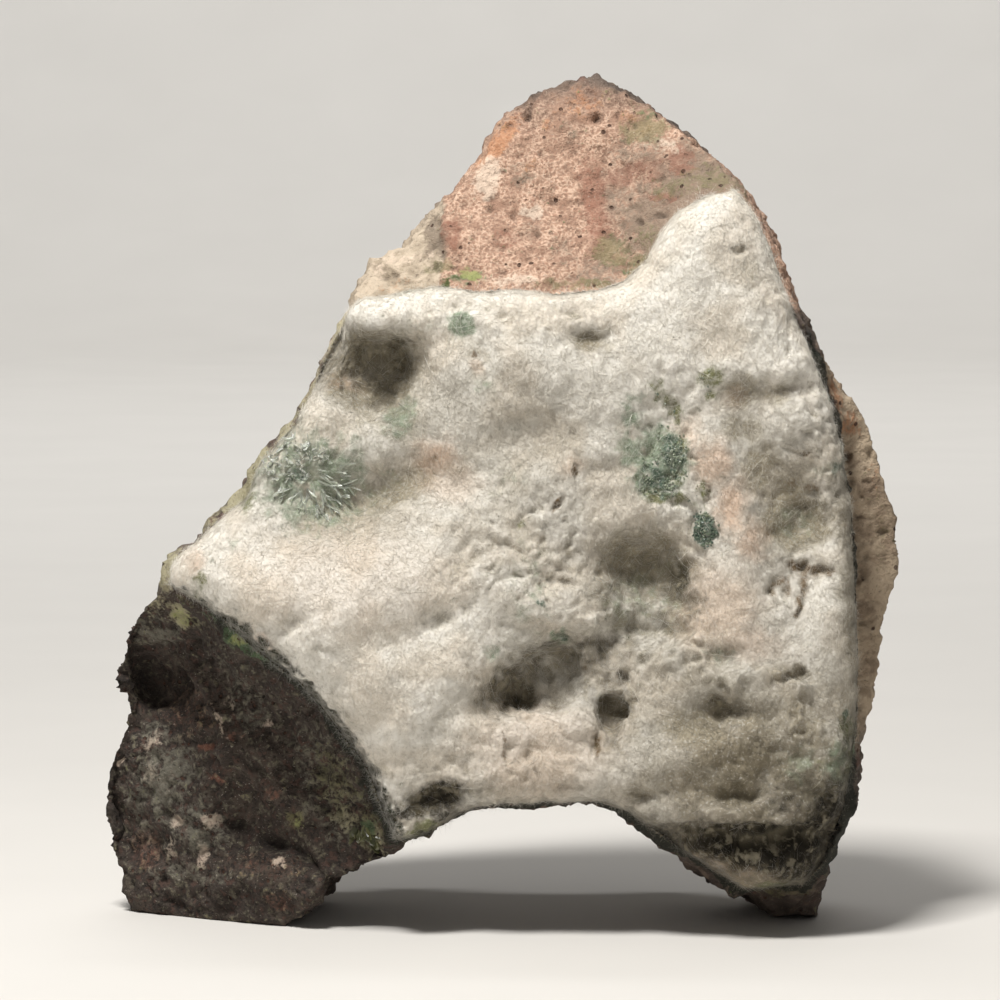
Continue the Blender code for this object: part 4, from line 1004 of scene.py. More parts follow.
@dataclass
class FeltMat:
    """The white mordenite felt that covers the cavity wall; sizes in mm."""

    node: str = "mordenite_mat"
    front_edge: float = 0.36
    back_edge: float = 3.0
    sink: float = 0.95
    soften: int = 26
    swell: float = 0.6
    crumb: float = 0.42
    rim_drop: float = 0.7
    rim_reach: float = 2.6

    def skin(self) -> Skin:
        """The felt's surface: the CAD solid refined, softened and given its small relief.

        Returns:
            A closed skin whose underside is sunk into the rock, with all stains and painted shade as masks.
        """
        skin = Skin.of_node(self.node)
        facing = skin.normals()[:, 1]
        skin.refine(np.where(facing > 0.35, self.back_edge, self.front_edge))
        under = skin.normals()[:, 1] > 0.35
        skin.points[under, 1] += self.sink
        hold = np.where(under, 0.0, 0.6)
        skin.relax(self.soften, hold)
        self._thin_rim(skin, under)
        free = skin.blurred(1.0 - under, 6)
        skin.masks.update({stain.name: stain.on(skin) for stain in FELT_STAINS})
        self._relieve(skin, np.clip(free * 1.3 - 0.3, 0.0, 1.0))
        # how far each point lies below the evened surface, for painted shade in the hollows
        cavity = np.clip(skin.hollowness(8, 0.28), 0.0, 1.0)
        skin.masks["cavity"] = skin.blurred(cavity, 1)
        skin.keep_inside()
        return skin

    def _thin_rim(self, skin: Skin, under: Array) -> None:
        """Thins the felt towards its rim, so that it ends on the rock in a ragged edge.

        Args:
            skin: the softened felt.
            under: which points lie on the underside.
        """
        rim = skin.points[under & (skin.blurred(1.0 - under, 1) > 0.05)]
        nearest = KDTree(len(rim))
        for number, place in enumerate(rim.tolist()):
            nearest.insert(place, number)
        nearest.balance()
        away = np.array([nearest.find(place)[2] for place in skin.points.tolist()])
        skin.masks["rim"] = 1.0 - smooth(away, 0.6, 2.6)
        ragged = 1.0 + 0.5 * ripple(skin.points, 2.4, 21.0, 3)
        drop = self.rim_drop * (1.0 - smooth(away, 0.3, self.rim_reach)) * ragged
        skin.points[:, 1] += np.where(under, 0.0, drop)

    def _relieve(self, skin: Skin, free: Array) -> None:
        """Lifts and sinks the surface.

        Args:
            skin: the softened felt.
            free: how far each point may move, 0 on the underside.
        """
        rough = 0.18 + 0.82 * skin.masks["rough"]
        places = skin.points
        x = places[:, 0] + 0.6 * ripple(places, 1.6, 3.0, 3)
        z = places[:, 2] + 0.6 * ripple(places, 1.6, 5.0, 3)
        lift = self.swell * ripple(places, 5.0, 1.0, 3) * (0.45 + 0.55 * rough)
        middle, _ = crumbs(places + 0.35 * ripple(places, 1.4, 8.0)[:, None], 1.5, 0.5)
        lift += self.crumb * rough * (0.5 - middle) * 1.6
        lift += 0.13 * (0.25 + rough) * ripple(places, 0.9, 2.0, 2)
        sunk = sum(form.on(x, z) for form in FELT_FORMS + FELT_DENTS)
        lift -= sunk
        broken = 0.15 + 0.85 * smooth(ripple(places, 1.3, 14.0), -0.5, 0.5)
        lift -= broken * sum(seam.on(x, z) for seam in FELT_SEAMS)
        lift -= 0.5 * rough * smooth(ripple(places, 1.5, 12.0), 0.45, 0.9)
        skin.points = skin.points + skin.normals() * (lift * free)[:, None]
        # the underside gives way below a hollow, so that the felt keeps its thickness
        skin.points[:, 1] += np.clip(sunk, 0.0, None) * (1.0 - free)

    def build(self) -> Skin:
        """Makes the felt and lets it stand for its CAD node.

        Returns:
            The skin, for what grows on it.
        """
        skin = self.skin()
        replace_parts(skin.piece("mordenite_felt", FeltFinish(), "mordenite_felt"), self.node)
        return skin


def scatter(skin: Skin, weight: Array, count: int, dice: np.random.Generator) -> tuple[Array, Array, Array]:
    """Picks random places on a skin.

    Args:
        skin: the surface.
        weight: for each face, how thickly the places lie.
        count: how many.
        dice: the random numbers.

    Returns:
        The face, the place and the outward direction of each.
    """
    a, b, c = (skin.points[skin.faces[:, k]] for k in range(3))
    chance = np.linalg.norm(np.cross(b - a, c - a), axis=1) * weight
    faces = dice.choice(len(chance), count, p=chance / chance.sum())
    share = dice.dirichlet((1.0, 1.0, 1.0), count)
    places = (skin.points[skin.faces[faces]] * share[:, :, None]).sum(axis=1)
    return faces, places, skin.normals()[skin.faces[faces, 0]]


@dataclass
class Needles:
    """Thin needles that share one mesh: each is a three-sided spike along a path."""

    paths: Array
    widths: Array

    def skin(self, source: Skin, faces: Array, names: tuple[str, ...]) -> Skin:
        """Joins all needles to one skin.

        Args:
            source: the felt that they grow on.
            faces: the felt's face below each needle.
            names: the stains that they take from it.

        Returns:
            Closed spikes, with the stains of the felt below.
        """
        count, steps, _ = self.paths.shape
        run = np.gradient(self.paths, axis=1)
        run /= np.maximum(np.linalg.norm(run, axis=2, keepdims=True), 1e-9)
        side = np.cross(run, np.array([0.31, -0.89, 0.33]))
        side /= np.maximum(np.linalg.norm(side, axis=2, keepdims=True), 1e-9)
        other = np.cross(run, side)
        taper = np.linspace(1.0, 0.35, steps)[None, :, None] * self.widths[:, None, None] / 2
        rings = []
        for k in range(3):
            angle = 2 * math.pi * k / 3
            rings.append(self.paths + taper * (math.cos(angle) * side + math.sin(angle) * other))
        body = np.stack(rings, axis=2)[:, :-1].reshape(count, -1, 3)
        points = np.concatenate([body, self.paths[:, -1:, :]], axis=1)
        each = points.shape[1]
        pattern = [(0, 2, 1)]
        for step in range(steps - 2):
            for k in range(3):
                a, b = 3 * step + k, 3 * step + (k + 1) % 3
                pattern += [(a, b, b + 3), (a, b + 3, a + 3)]
        last = 3 * (steps - 2)
        pattern += [(last + k, last + (k + 1) % 3, each - 1) for k in range(3)]
        all_faces = np.array(pattern)[None] + each * np.arange(count)[:, None, None]
        skin = Skin(points.reshape(-1, 3), all_faces.reshape(-1, 3))
        for name in names:
            skin.masks[name] = np.repeat(source.masks[name][source.faces[faces, 0]], each)
        return skin


@dataclass
class Fuzz:
    """Short fibres that stand over the felt in every direction; sizes in mm."""

    name: str
    count: int
    lengths: tuple[float, float]
    width: float
    tilt: tuple[float, float]
    seed: int
    along_z: float = 0.0

    def build(self, felt: Skin, weight: Array) -> None:
        """Grows the fibres as one piece.

        Args:
            felt: the skin they grow on.
            weight: for each face, how thickly they stand.
        """
        dice = np.random.default_rng(self.seed)
        faces, root, up = scatter(felt, weight, self.count, dice)
        spin = dice.uniform(0, 2 * math.pi, self.count)
        aim = np.stack([np.cos(spin), np.zeros(self.count), np.sin(spin)], axis=1)
        aim[:, 0] *= 1.0 - self.along_z
        aim -= up * (aim * up).sum(axis=1, keepdims=True)
        aim /= np.maximum(np.linalg.norm(aim, axis=1, keepdims=True), 1e-9)
        tilt = np.radians(dice.uniform(*self.tilt, self.count))[:, None]
        way = aim * np.cos(tilt) + up * np.sin(tilt)
        length = dice.uniform(*self.lengths, self.count)[:, None]
        start = root - 0.06 * way
        paths = np.stack([start, start + way * length], axis=1)
        inside = inside_box(paths)
        needles = Needles(paths[inside], self.width * dice.uniform(0.7, 1.3, self.count)[inside])
        names = tuple(stain.name for stain in FELT_STAINS) + ("cavity",)
        skin = needles.skin(felt, faces[inside], names)
        skin.piece(self.name, FibreFinish(), "mordenite_felt")


@dataclass
class Threads:
    """Long fine fibres that lie over the felt and follow it; sizes in mm."""

    name: str
    count: int
    lengths: tuple[float, float]
    width: float
    rise: tuple[float, float]
    curl: float
    seed: int
    steps: int = 7

    def build(self, felt: Skin, weight: Array) -> None:
        """Lays the threads as one piece.

        Args:
            felt: the skin they lie on.
            weight: for each face, how thickly they lie.
        """
        dice = np.random.default_rng(self.seed)
        tree = felt.tree()
        faces, roots, _ = scatter(felt, weight, self.count, dice)
        spins = dice.uniform(0, 2 * math.pi, self.count)
        lengths, bends = dice.uniform(*self.lengths, self.count), dice.normal(0.0, self.curl, self.count)
        rises = dice.uniform(*self.rise, self.count)
        paths = np.array([self._lay(tree, *each) for each in zip(roots, spins, lengths, bends, rises)])
        self._make(felt, paths, faces, self.width * dice.uniform(0.7, 1.3, self.count))

    def place(self, felt: Skin, lines: tuple[tuple[float, float, float, float], ...]) -> None:
        """Lays single needles where the photograph shows them.

        Args:
            felt: the skin they lie on.
            lines: x and z of the root, degrees from x towards z, and length.
        """
        tree = felt.tree()
        paths, faces = [], []
        for x, z, turn, length in lines:
            hit = tree.ray_cast(Vector((x, -60.0, z)), Vector((0, 1, 0)))
            if hit[0] is None:
                LOG.warning("%s: no felt at %.1f, %.1f", self.name, x, z)
                continue
            paths.append(self._lay(tree, hit[0], math.radians(turn), length, 0.0, self.rise[1]))
            faces.append(hit[2])
        self._make(felt, np.array(paths), np.array(faces), np.full(len(paths), self.width))

    def _lay(self, tree: BVHTree, root: Array, spin: float, length: float, bend: float, rise: float) -> Array:
        """One path over the felt.

        Args:
            tree: the felt's faces.
            root: where it starts.
            spin: its first direction, from x towards z.
            length: its length.
            bend: how much it turns a step.
            rise: how high its middle stands off.

        Returns:
            The points of the path.
        """
        place, path, stride = Vector(root), [], length / (self.steps - 1)
        for step in range(self.steps):
            near, normal, _, _ = tree.find_nearest(place)
            share = step / (self.steps - 1)
            path.append(near + normal * (rise * math.sin(math.pi * min(share + 0.08, 0.9)) - 0.02))
            way = Vector((math.cos(spin), 0.0, math.sin(spin)))
            way -= normal * way.dot(normal)
            place = near + way.normalized() * stride
            spin += bend
        return np.array(path)

    def _make(self, felt: Skin, paths: Array, faces: Array, widths: Array) -> None:
        """Turns paths to one piece.

        Args:
            felt: the felt's skin.
            paths: the points of each thread.
            faces: the felt's face below each thread.
            widths: the width of each thread.
        """
        inside = inside_box(paths)
        names = tuple(stain.name for stain in FELT_STAINS) + ("cavity",)
        skin = Needles(paths[inside], widths[inside]).skin(felt, faces[inside], names)
        skin.piece(self.name, FibreFinish(name="mordenite_needles_grown", veil=0.6), "mordenite_felt")


def inside_box(paths: Array) -> Array:
    """Which paths stay inside the CAD model's box."""
    low, high = (np.array(corner) / MM for corner in CAD_BOX)
    return ((paths > low + 0.1) & (paths < high - 0.1)).all(axis=(1, 2))


NAMED_NEEDLES = (
    (-15.2, 60.1, 92, 4.2), (-12.8, 67.2, -42, 3), (31.4, 57.8, 68, 3.2), (17.2, 47.6, -48, 1.6),
    (-10.9, 59, 4, 3), (-18.4, 60.6, 24, 1.8), (-17.6, 61.2, 8, 1.4), (-16, 65, 70, 2.4),
    (-9.6, 73.4, -30, 4.6), (-12, 75, 24, 4), (-6.4, 66, 100, 3), (6, 69, 86, 4.4), (8.6, 66, 94, 3.6),
    (3, 71.6, 82, 3.4), (11.8, 71, 98, 3), (22.6, 30.6, 36, 1.6), (18.6, 25.4, -40, 1.4),
    (24, 33.6, -60, 1.6), (10, 52.6, 120, 2), (29.6, 48.4, 30, 2.2), (-24, 69.4, 12, 1.8),
    (-20, 73.6, 50, 1.8), (-18.6, 70, -20, 2), (-15, 70.6, 35, 1.8), (14, 76.6, -70, 2),
)


# Crystals


@dataclass(frozen=True)
class Tuft:
    """Blades that fan out from one root; places and sizes in mm, angles in degrees."""

    x: float
    z: float
    aim: float
    spread: float
    count: int
    lengths: tuple[float, float]
    width: float
    rise: tuple[float, float] = (15.0, 65.0)


class Crystals:
    """Faceted blades and blocks that are gathered into one skin."""

    def __init__(self) -> None:
        """Starts with none."""
        self.points: list[Array] = []
        self.faces: list[Array] = []
        self.tints: list[Array] = []
        self.count = 0

    def grow(self, root: Vector, way: Vector, flat: Vector, length: float, width: float, thick: float,
             tip: float, tint: float) -> None:
        """Adds one crystal: a flattened six-sided prism that ends in a chisel.

        Args:
            root: the middle of its foot.
            way: the way it grows.
            flat: a direction that its broad side faces.
            length: from foot to tip.
            width: across its broad side.
            thick: across its thin side.
            tip: the share of its length in the chisel.
            tint: how deep its colour is, 0 to 1.
        """
        way = way.normalized()
        side = way.cross(flat).normalized()
        face = side.cross(way)
        rings = []
        for share, size in ((0.0, 0.8), (1.0 - tip, 1.0), (1.0, 0.38)):
            middle = root + way * length * share
            for across, up in ((1, 0), (0.62, 1), (-0.62, 1), (-1, 0), (-0.62, -1), (0.62, -1)):
                slim = 0.25 if share == 1.0 else 1.0
                corner = side * (across * width / 2 * size)
                rings.append(middle + corner + face * (up * thick / 2 * size * slim))
        foot = [(0, k + 1, k) for k in (4, 3, 2, 1)]
        faces = foot + [(12, k, k + 1) for k in (13, 14, 15, 16)]
        for ring in (0, 6):
            for k in range(6):
                a, b = ring + k, ring + (k + 1) % 6
                faces += [(a, b, b + 6), (a, b + 6, a + 6)]
        self.points.append(np.array([tuple(p) for p in rings]))
        self.faces.append(np.array(faces) + self.count)
        self.tints.append(np.full(18, tint))
        self.count += 18

    def fan(self, tuft: Tuft, tree: BVHTree, dice: np.random.Generator, tints: tuple[float, float]) -> None:
        """Adds a tuft of blades.

        Args:
            tuft: where and how it fans.
            tree: the surface that it grows from, in mm.
            dice: the random numbers.
            tints: lightest and deepest colour.
        """
        for _ in range(tuft.count):
            x, z = tuft.x + dice.normal(0, 0.35), tuft.z + dice.normal(0, 0.35)
            hit = tree.ray_cast(Vector((x, -60.0, z)), Vector((0, 1, 0)))[0]
            if hit is None:
                continue
            turn = math.radians(tuft.aim + dice.uniform(-tuft.spread, tuft.spread))
            rise = math.radians(dice.uniform(*tuft.rise))
            way = Vector((math.cos(turn) * math.cos(rise), -math.sin(rise), math.sin(turn) * math.cos(rise)))
            flat = Vector(dice.normal(size=3)) + Vector((0, -1.2, 0.6))
            length, width = dice.uniform(*tuft.lengths), tuft.width * dice.uniform(0.7, 1.4)
            self.grow(hit - way * 0.6, way, flat, length + 0.4, width, 0.28 * width, dice.uniform(0.15, 0.4),
                      dice.uniform(*tints))

    def skin(self) -> Skin:
        """All crystals as one skin with their tint as a mask, kept inside the CAD box.

        Returns:
            The joined skin.
        """
        made = Skin(np.vstack(self.points), np.vstack(self.faces))
        made.masks["tint"] = np.concatenate(self.tints)
        made.keep_inside()
        return made


@dataclass
class GreenSpray:
    """The glassy pale green spray at the felt's left edge: short blades above, longer fans beside."""

    node: str = "green_crystal_spray"
    short: tuple[float, float] = (0.6, 1.3)
    long: tuple[float, float] = (1.0, 2.2)

    def tufts(self) -> tuple[Tuft, ...]:
        """The tufts, left to right and top to bottom.

        Returns:
            One tuft for each fan of blades.
        """
        above = (
            (-28.8, 60.4), (-27.4, 61.8), (-26.2, 62.8), (-25.4, 61.4), (-27.2, 59.8), (-25.6, 59.6),
            (-24.2, 60.6), (-23.0, 61.6), (-22.4, 60.2), (-28.6, 58.4), (-26.6, 58.0), (-24.6, 58.2),
            (-29.4, 59.4), (-24.4, 62.4),
        )
        beside = (
            (-22.6, 58.4, -10), (-21.4, 57.2, -25), (-20.2, 58.6, 5), (-22.4, 56.0, -50),
            (-20.6, 55.6, -40), (-24.0, 56.4, -80), (-23.2, 54.6, -75), (-21.8, 54.2, -60),
            (-25.6, 56.0, -115), (-27.2, 56.4, -140), (-24.8, 54.8, -100), (-19.8, 57.0, -15),
            (-22.0, 53.2, -80),
        )
        return tuple(Tuft(x, z, 100.0, 180.0, 10, self.short, 0.42, (10.0, 60.0)) for x, z in above) + tuple(
            Tuft(x, z, aim, 42.0, 9, self.long, 0.27, (4.0, 32.0)) for x, z, aim in beside)

    def build(self, felt: Skin) -> None:
        """Grows the spray on the felt; it stands for its CAD node.

        Args:
            felt: the felt's skin.
        """
        dice, tree, crystals = np.random.default_rng(31), felt.tree(), Crystals()
        for tuft in self.tufts():
            crystals.fan(tuft, tree, dice, (0.0, 0.6))
        made = crystals.skin().piece("green_spray", GlassyFinish(), "green_glassy_blades", sharp=True)
        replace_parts(made, self.node)


@dataclass
class GreenDruse:
    """The crust of small green crystals with its dark teal knob, and the olive grains above it."""

    node: str = "green_crystal_druse"
    grains: int = 760
    grain_size: tuple[float, float] = (0.16, 0.38)
    knob: Spot = Spot(25.9, 51.5, 1.5, 2.1, 1.0, 0.0, 0.2)
    knob_blocks: int = 220

    def build(self, felt: Skin) -> None:
        """Grows the crust on the felt; it stands for its CAD node.

        Args:
            felt: the felt's skin.
        """
        dice, crystals = np.random.default_rng(32), Crystals()
        middle = felt.points[felt.faces].mean(axis=1)
        near = (middle[:, 0] > 14.0) & (middle[:, 0] < 28.6) & (middle[:, 2] > 48.6) & (middle[:, 2] < 72.6)
        at = felt.faces[:, 0]
        teal, green, olive = (felt.masks[name][at] for name in ("teal", "green", "olive"))
        crust = np.clip(teal + 0.55 * green + 0.7 * olive - 0.35, 0, 1)
        crust = crust * smooth(ripple(middle, 1.4, 23.0, 2), -0.35, 0.45)
        self._strew(felt, crust * near, self.grains, self.grain_size, (0.1, 0.9), crystals, dice)
        knob = self.knob.on(middle[:, 0], middle[:, 2]) * near
        self._strew(felt, knob, self.knob_blocks, (0.22, 0.46), (0.7, 1.0), crystals, dice)
        made = crystals.skin().piece("green_druse", DruseFinish(), "green_druse", sharp=True)
        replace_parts(made, self.node)

    def _strew(self, felt: Skin, weight: Array, count: int, sizes: tuple[float, float],
               tints: tuple[float, float], crystals: Crystals, dice: np.random.Generator) -> None:
        """Strews blocky crystals.

        Args:
            felt: the surface.
            weight: for each face, how thickly they lie.
            count: how many.
            sizes: smallest and largest.
            tints: lightest and deepest colour.
            crystals: what they are added to.
            dice: the random numbers.
        """
        _, places, ups = scatter(felt, weight, count, dice)
        for place, up in zip(places, ups):
            way = Vector(up) + Vector(dice.normal(0, 0.55, 3))
            size = dice.uniform(*sizes)
            root = Vector(place) - way.normalized() * size * 0.35
            crystals.grow(root, way, Vector(dice.normal(size=3)), size * 1.1, size,
                          size * dice.uniform(0.5, 0.9), dice.uniform(0.2, 0.5), dice.uniform(*tints))


@dataclass
class NotchBlades:
    """The small yellow-green plates in the notch between the dark block and the felt."""

    node: str = "notch_blades"
    tufts: tuple[Tuft, ...] = (
        Tuft(-17.0, 12.6, -80.0, 60.0, 14, (1.0, 2.3), 0.7, (5.0, 40.0)),
        Tuft(-16.0, 11.6, -60.0, 50.0, 10, (0.9, 1.9), 0.6, (5.0, 40.0)),
        Tuft(-18.2, 12.2, -120.0, 50.0, 10, (0.8, 1.6), 0.6, (5.0, 50.0)),
    )

    def build(self, rock: Skin) -> None:
        """Grows the plates on the rock; they stand for their CAD node.

        Args:
            rock: the rock's skin.
        """
        dice, tree, crystals = np.random.default_rng(33), rock.tree(), Crystals()
        for tuft in self.tufts:
            crystals.fan(tuft, tree, dice, (0.2, 1.0))
        finish = GlassyFinish("zeolite_plates_stained", "#7C7B4E", "#3E4128", 0.3, 1.5, 0.25)
        made = crystals.skin().piece("notch_blades_fine", finish, "yellow_green_blades", sharp=True)
        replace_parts(made, self.node)


# The rock

ROCK_STAINS = (
    Stain("greyed", spots(
        (21, 89, 6, 7, 0.85, 20), (25, 95, 5, 5, 0.9), (19, 97, 4, 3, 0.55), (15, 93, 3, 4, 0.6),
        (-8.2, 88, 1.8, 3, 0.95), (13, 83.6, 4, 2, 0.6), (4, 89, 1.6, 1.4, 0.5), (17, 98, 3, 2.4, 0.6),
        (3, 96, 1.4, 2.4, 0.5), (9, 101, 1.4, 1.2, 0.5), (8, 86, 2, 2, 0.4), (30, 97, 3, 6, 0.9, -35),
        (22, 104, 8, 1.2, 0.8, -35),
    ), 1.2, 2.4),
    Stain("red", spots(
        (12, 92, 1.8, 6, 0.75, 6), (17, 96, 4.6, 1.6, 0.6, 20), (23, 97.6, 2, 2, 0.75),
        (-6, 88.4, 0.9, 2.4, 0.7), (1, 88, 2, 1.6, 0.5), (20.6, 93, 2.6, 0.8, 0.8),
        (10.6, 106.4, 1.8, 1.4, 0.7), (4.6, 91, 1, 3, 0.4), (-40.4, 27, 4, 4, 0.3),
        (-38, 22.5, 1, 0.5, 0.8, 20), (-36, 18.6, 0.8, 0.8, 0.8), (-34, 24.2, 0.9, 0.7, 0.6),
        (-30, 7.6, 5, 1.8, 0.3), (-46, 8, 2.4, 3, 0.4), (-29, 17, 1, 0.8, 0.5), (-28.4, 3.4, 2, 1.2, 0.4),
    ), 0.9, 1.8),
    Stain("orange", spots(
        (0.6, 101, 1.3, 4.6, 0.9, -32), (11, 105.6, 3.4, 2.4, 0.8), (6.4, 102.4, 1, 1, 0.6),
        (-2, 97.6, 0.8, 2, 0.7, -40), (17, 103, 2, 1.4, 0.5), (4, 96.6, 0.9, 0.8, 0.5),
        (42.6, 68, 1.2, 2.6, 0.6, 20), (44.6, 64, 2, 1.4, 0.55), (18, 102, 2, 1, 0.4),
        (9, 103.6, 3, 1, 0.5), (-14, 82, 3, 0.8, 0.3, 10), (48, 58, 0.9, 2, 0.3),
    ), 0.8, 1.6),
    Stain("pale", spots(
        (-1.6, 95.6, 1.6, 2.6, 1, -12), (20.6, 99.8, 2.8, 1, 0.55, -14), (4, 91, 1.8, 1, 0.8),
        (2, 82.6, 4, 0.7, 0.6), (22, 102, 2, 0.7, 0.3, -35), (7, 106.4, 1.6, 0.8, 0.5),
        (-12, 85.4, 4, 0.6, 0.6, 6), (-15.6, 84, 1.4, 1.2, 0.5), (-41.4, 12.6, 1.1, 0.9, 0.75, 30),
        (-38.4, 8.4, 0.7, 1.6, 0.7), (-37, 13, 0.8, 1.4, 0.7, -30), (-28.4, 8, 0.8, 0.5, 0.8),
        (-45, 22.6, 1.6, 1, 0.6, 30), (-45, 18.6, 1.4, 1.2, 0.5), (-49.6, 19.6, 0.4, 0.8, 0.9),
        (-29.6, 26, 0.9, 0.5, 0.6, -30), (-34.6, 28, 0.5, 1.6, 0.5, 25), (-42.6, 9, 0.7, 1.2, 0.5),
        (-36, 26, 0.4, 2.6, 0.6, 22),
    ), 0.8, 1.5),
    Stain("mineral", spots(
        (-42.8, 18.4, 4.4, 4, 0.8), (-38, 11.6, 3, 3.4, 0.7), (-45, 23.6, 2.6, 1.6, 0.6),
        (-46.6, 14.6, 2, 2.4, 0.6), (-21, 16, 4, 6, 0.45, 20), (-32, 27.4, 3, 3, 0.5, -30),
        (-44, 37, 3.4, 2, 0.75), (-30, 20, 3, 4, 0.25), (-40, 5.6, 7, 0.9, 0.6), (-27, 9.4, 2, 1, 0.4),
        (-43, 15, 7, 8, 0.5, 0, 1), (-22, 20, 4, 8, 0.55, 30, 1), (-33, 31, 3, 6, 0.4, 35, 1),
    ), 1.3, 1.6, 0.6),
    Stain("crust", spots(
        (-42, 46, 1.4, 3.2, 1, -25), (-38, 52.6, 3.6, 1.6, 1, 45), (-33.6, 56, 2.6, 2.2, 1, 50),
        (-31, 59.4, 1.6, 3, 1, -15), (-27.6, 64.4, 2.4, 1.6, 0.9, 45), (-24.4, 69, 1.4, 3.6, 0.8, -25),
        (-20.8, 76, 1.2, 3.4, 0.8, -25), (-41, 39.4, 2, 1.3, 0.9, -45), (-44, 41.4, 1, 2.6, 0.6, -35),
        (-20, 14.6, 2.2, 1.6, 0.5), (-16, 11.6, 1.6, 2, 0.6),
    ), 0.9, 1.6, 0.25),
    Stain("olive", spots(
        (14, 86.4, 2.2, 2, 0.9), (18, 84, 2.6, 2, 0.8), (22.4, 94.4, 3.6, 1.4, 0.6, 20),
        (-8, 84.4, 2, 0.8, 0.7), (14, 107, 0.9, 1.6, 0.9), (18.6, 104.4, 1.8, 1.2, 0.9, -30),
        (18.4, 101.6, 3, 2, 0.95), (27, 95.6, 3, 1.4, 0.6), (10, 82.2, 6, 0.6, 0.7),
        (19, 88.4, 2.4, 1.6, 0.5), (30, 93.6, 2.2, 3.4, 0.5, -40), (-31.4, 57.4, 1, 3, 0.6, -20),
        (-39.6, 44.6, 1.2, 3, 0.6), (-21, 19, 3, 5, 0.5, 25), (-16, 14, 3, 2.6, 0.5),
        (-26.4, 13.6, 1, 1.4, 0.7, 40), (44, 30, 1.4, 6, 0.4), (36, 5, 4, 1.2, 0.6),
        (49, 50, 0.9, 5, 0.35), (-11, 13, 2, 2, 0.8),
    ), 1, 1.4),
    Stain("green", (
        *spots(
            (17.2, 83.4, 1.4, 1, 0.6), (18.6, 104, 1.6, 0.8, 0.7, -30), (-4.4, 83, 2.4, 0.8, 0.8),
            (14, 106.6, 0.8, 1.2, 0.6),
        ),
        Seam(((-34, 38.4), (-31.6, 36.8), (-29.8, 35.4)), 0.9, 0.9),
        *spots(
            (44.4, 28, 0.8, 2, 0.7), (-16.8, 13.4, 1, 1.2, 0.7), (44.6, 24, 0.7, 1.2, 0.7),
            (43, 60.4, 0.8, 1.6, 0.6), (-37, 41, 1, 1.6, 0.4, 30), (41.6, 66.8, 0.7, 1.8, 0.5),
        ),
    ), 0.7, 1.2),
    Stain("lime", spots(
        (-3.8, 83.4, 1.6, 0.7, 0.9, -10), (-41, 39.4, 1.8, 1, 0.5, -45), (-32.8, 37.6, 1, 0.6, 0.9, -30),
        (-26, 13.4, 0.7, 1, 0.6, 30),
    ), 0.5, 1),
    Stain("moss", spots(
        (-7.1, 81.6, 0.6, 1.4, 0.95, -15), (-5.6, 83, 1, 0.4, 0.5), (-31.2, 55, 0.9, 0.6, 0.6),
    ), 0.3, 0.7),
)

ROCK_DENTS = spots(
    (12.7, 103, 0.7, 0.6, 0.8), (6.9, 92.6, 0.6, 0.5, 0.7), (-1.3, 91.6, 0.5, 0.4, 0.6),
    (20.3, 90.9, 0.7, 0.4, 0.7), (2.8, 88.6, 0.4, 0.3, 0.5), (5.4, 93, 0.3, 0.3, 0.5),
    (-4.6, 94.2, 0.4, 0.4, 0.5), (17.8, 90, 0.5, 0.4, 0.6), (3.7, 104, 0.4, 1, 0.7, -10),
    (3.6, 103.2, 0.5, 0.4, 0.6), (-13.8, 83.4, 1, 0.3, 0.4, 20), (-12.6, 81.6, 0.9, 0.3, 0.4),
    (-31.2, 54.8, 1.4, 0.9, 0.9), (-43.8, 31, 3.4, 3.6, 1.7, 0, 0.4), (-40.6, 31.6, 1, 3, 0.5, 0, 0.5),
    (-39, 25, 3.6, 4, 0.6, -15, 0.6), (-43, 17, 4.6, 5, -0.8, 0, 0.8), (-29, 5.6, 6, 3, -0.7, 0, 0.7),
    (-24, 21, 4, 7, -0.7, 30, 0.8), (-32, 17, 2.6, 5, 0.8, 10, 0.8), (-37, 12, 1.6, 3.4, -0.6, 35, 0.8),
    (20.4, 103.2, 0.4, 0.3, 0.5), (-37.8, 49.8, 1.3, 1.1, 0.9), (44.6, 60, 0.5, 0.5, 0.4),
    (46, 52, 0.4, 0.4, 0.4), (45.6, 44, 0.5, 0.4, 0.4), (47, 47, 0.4, 0.5, 0.4), (-22, 16, 1.4, 1, 0.6),
    (-27, 24, 1.2, 1, 0.5), (-34, 12, 1.6, 0.8, 0.5), (-20.8, 24.4, 0.6, 0.5, 0.5),
)
ROCK_SEAMS = (
    Seam(((-30, 10.4), (-26, 10), (-21.8, 6.2)), 0.7, 1.1),
    Seam(((-40.2, 35), (-36.4, 26.6), (-35, 19)), 0.7, -0.6), Seam(((-6.9, 92.6), (-6.6, 85)), 0.5, -0.5),
    Seam(((-47, 34.6), (-41, 35.2)), 0.7, 0.8), Seam(((-44, 26.6), (-40.6, 31.6)), 0.6, -0.5),
    Seam(((-16.4, 80.2), (-8, 84.6)), 0.3, 0.3), Seam(((-15, 82), (-9, 82.4)), 0.3, 0.3),
)


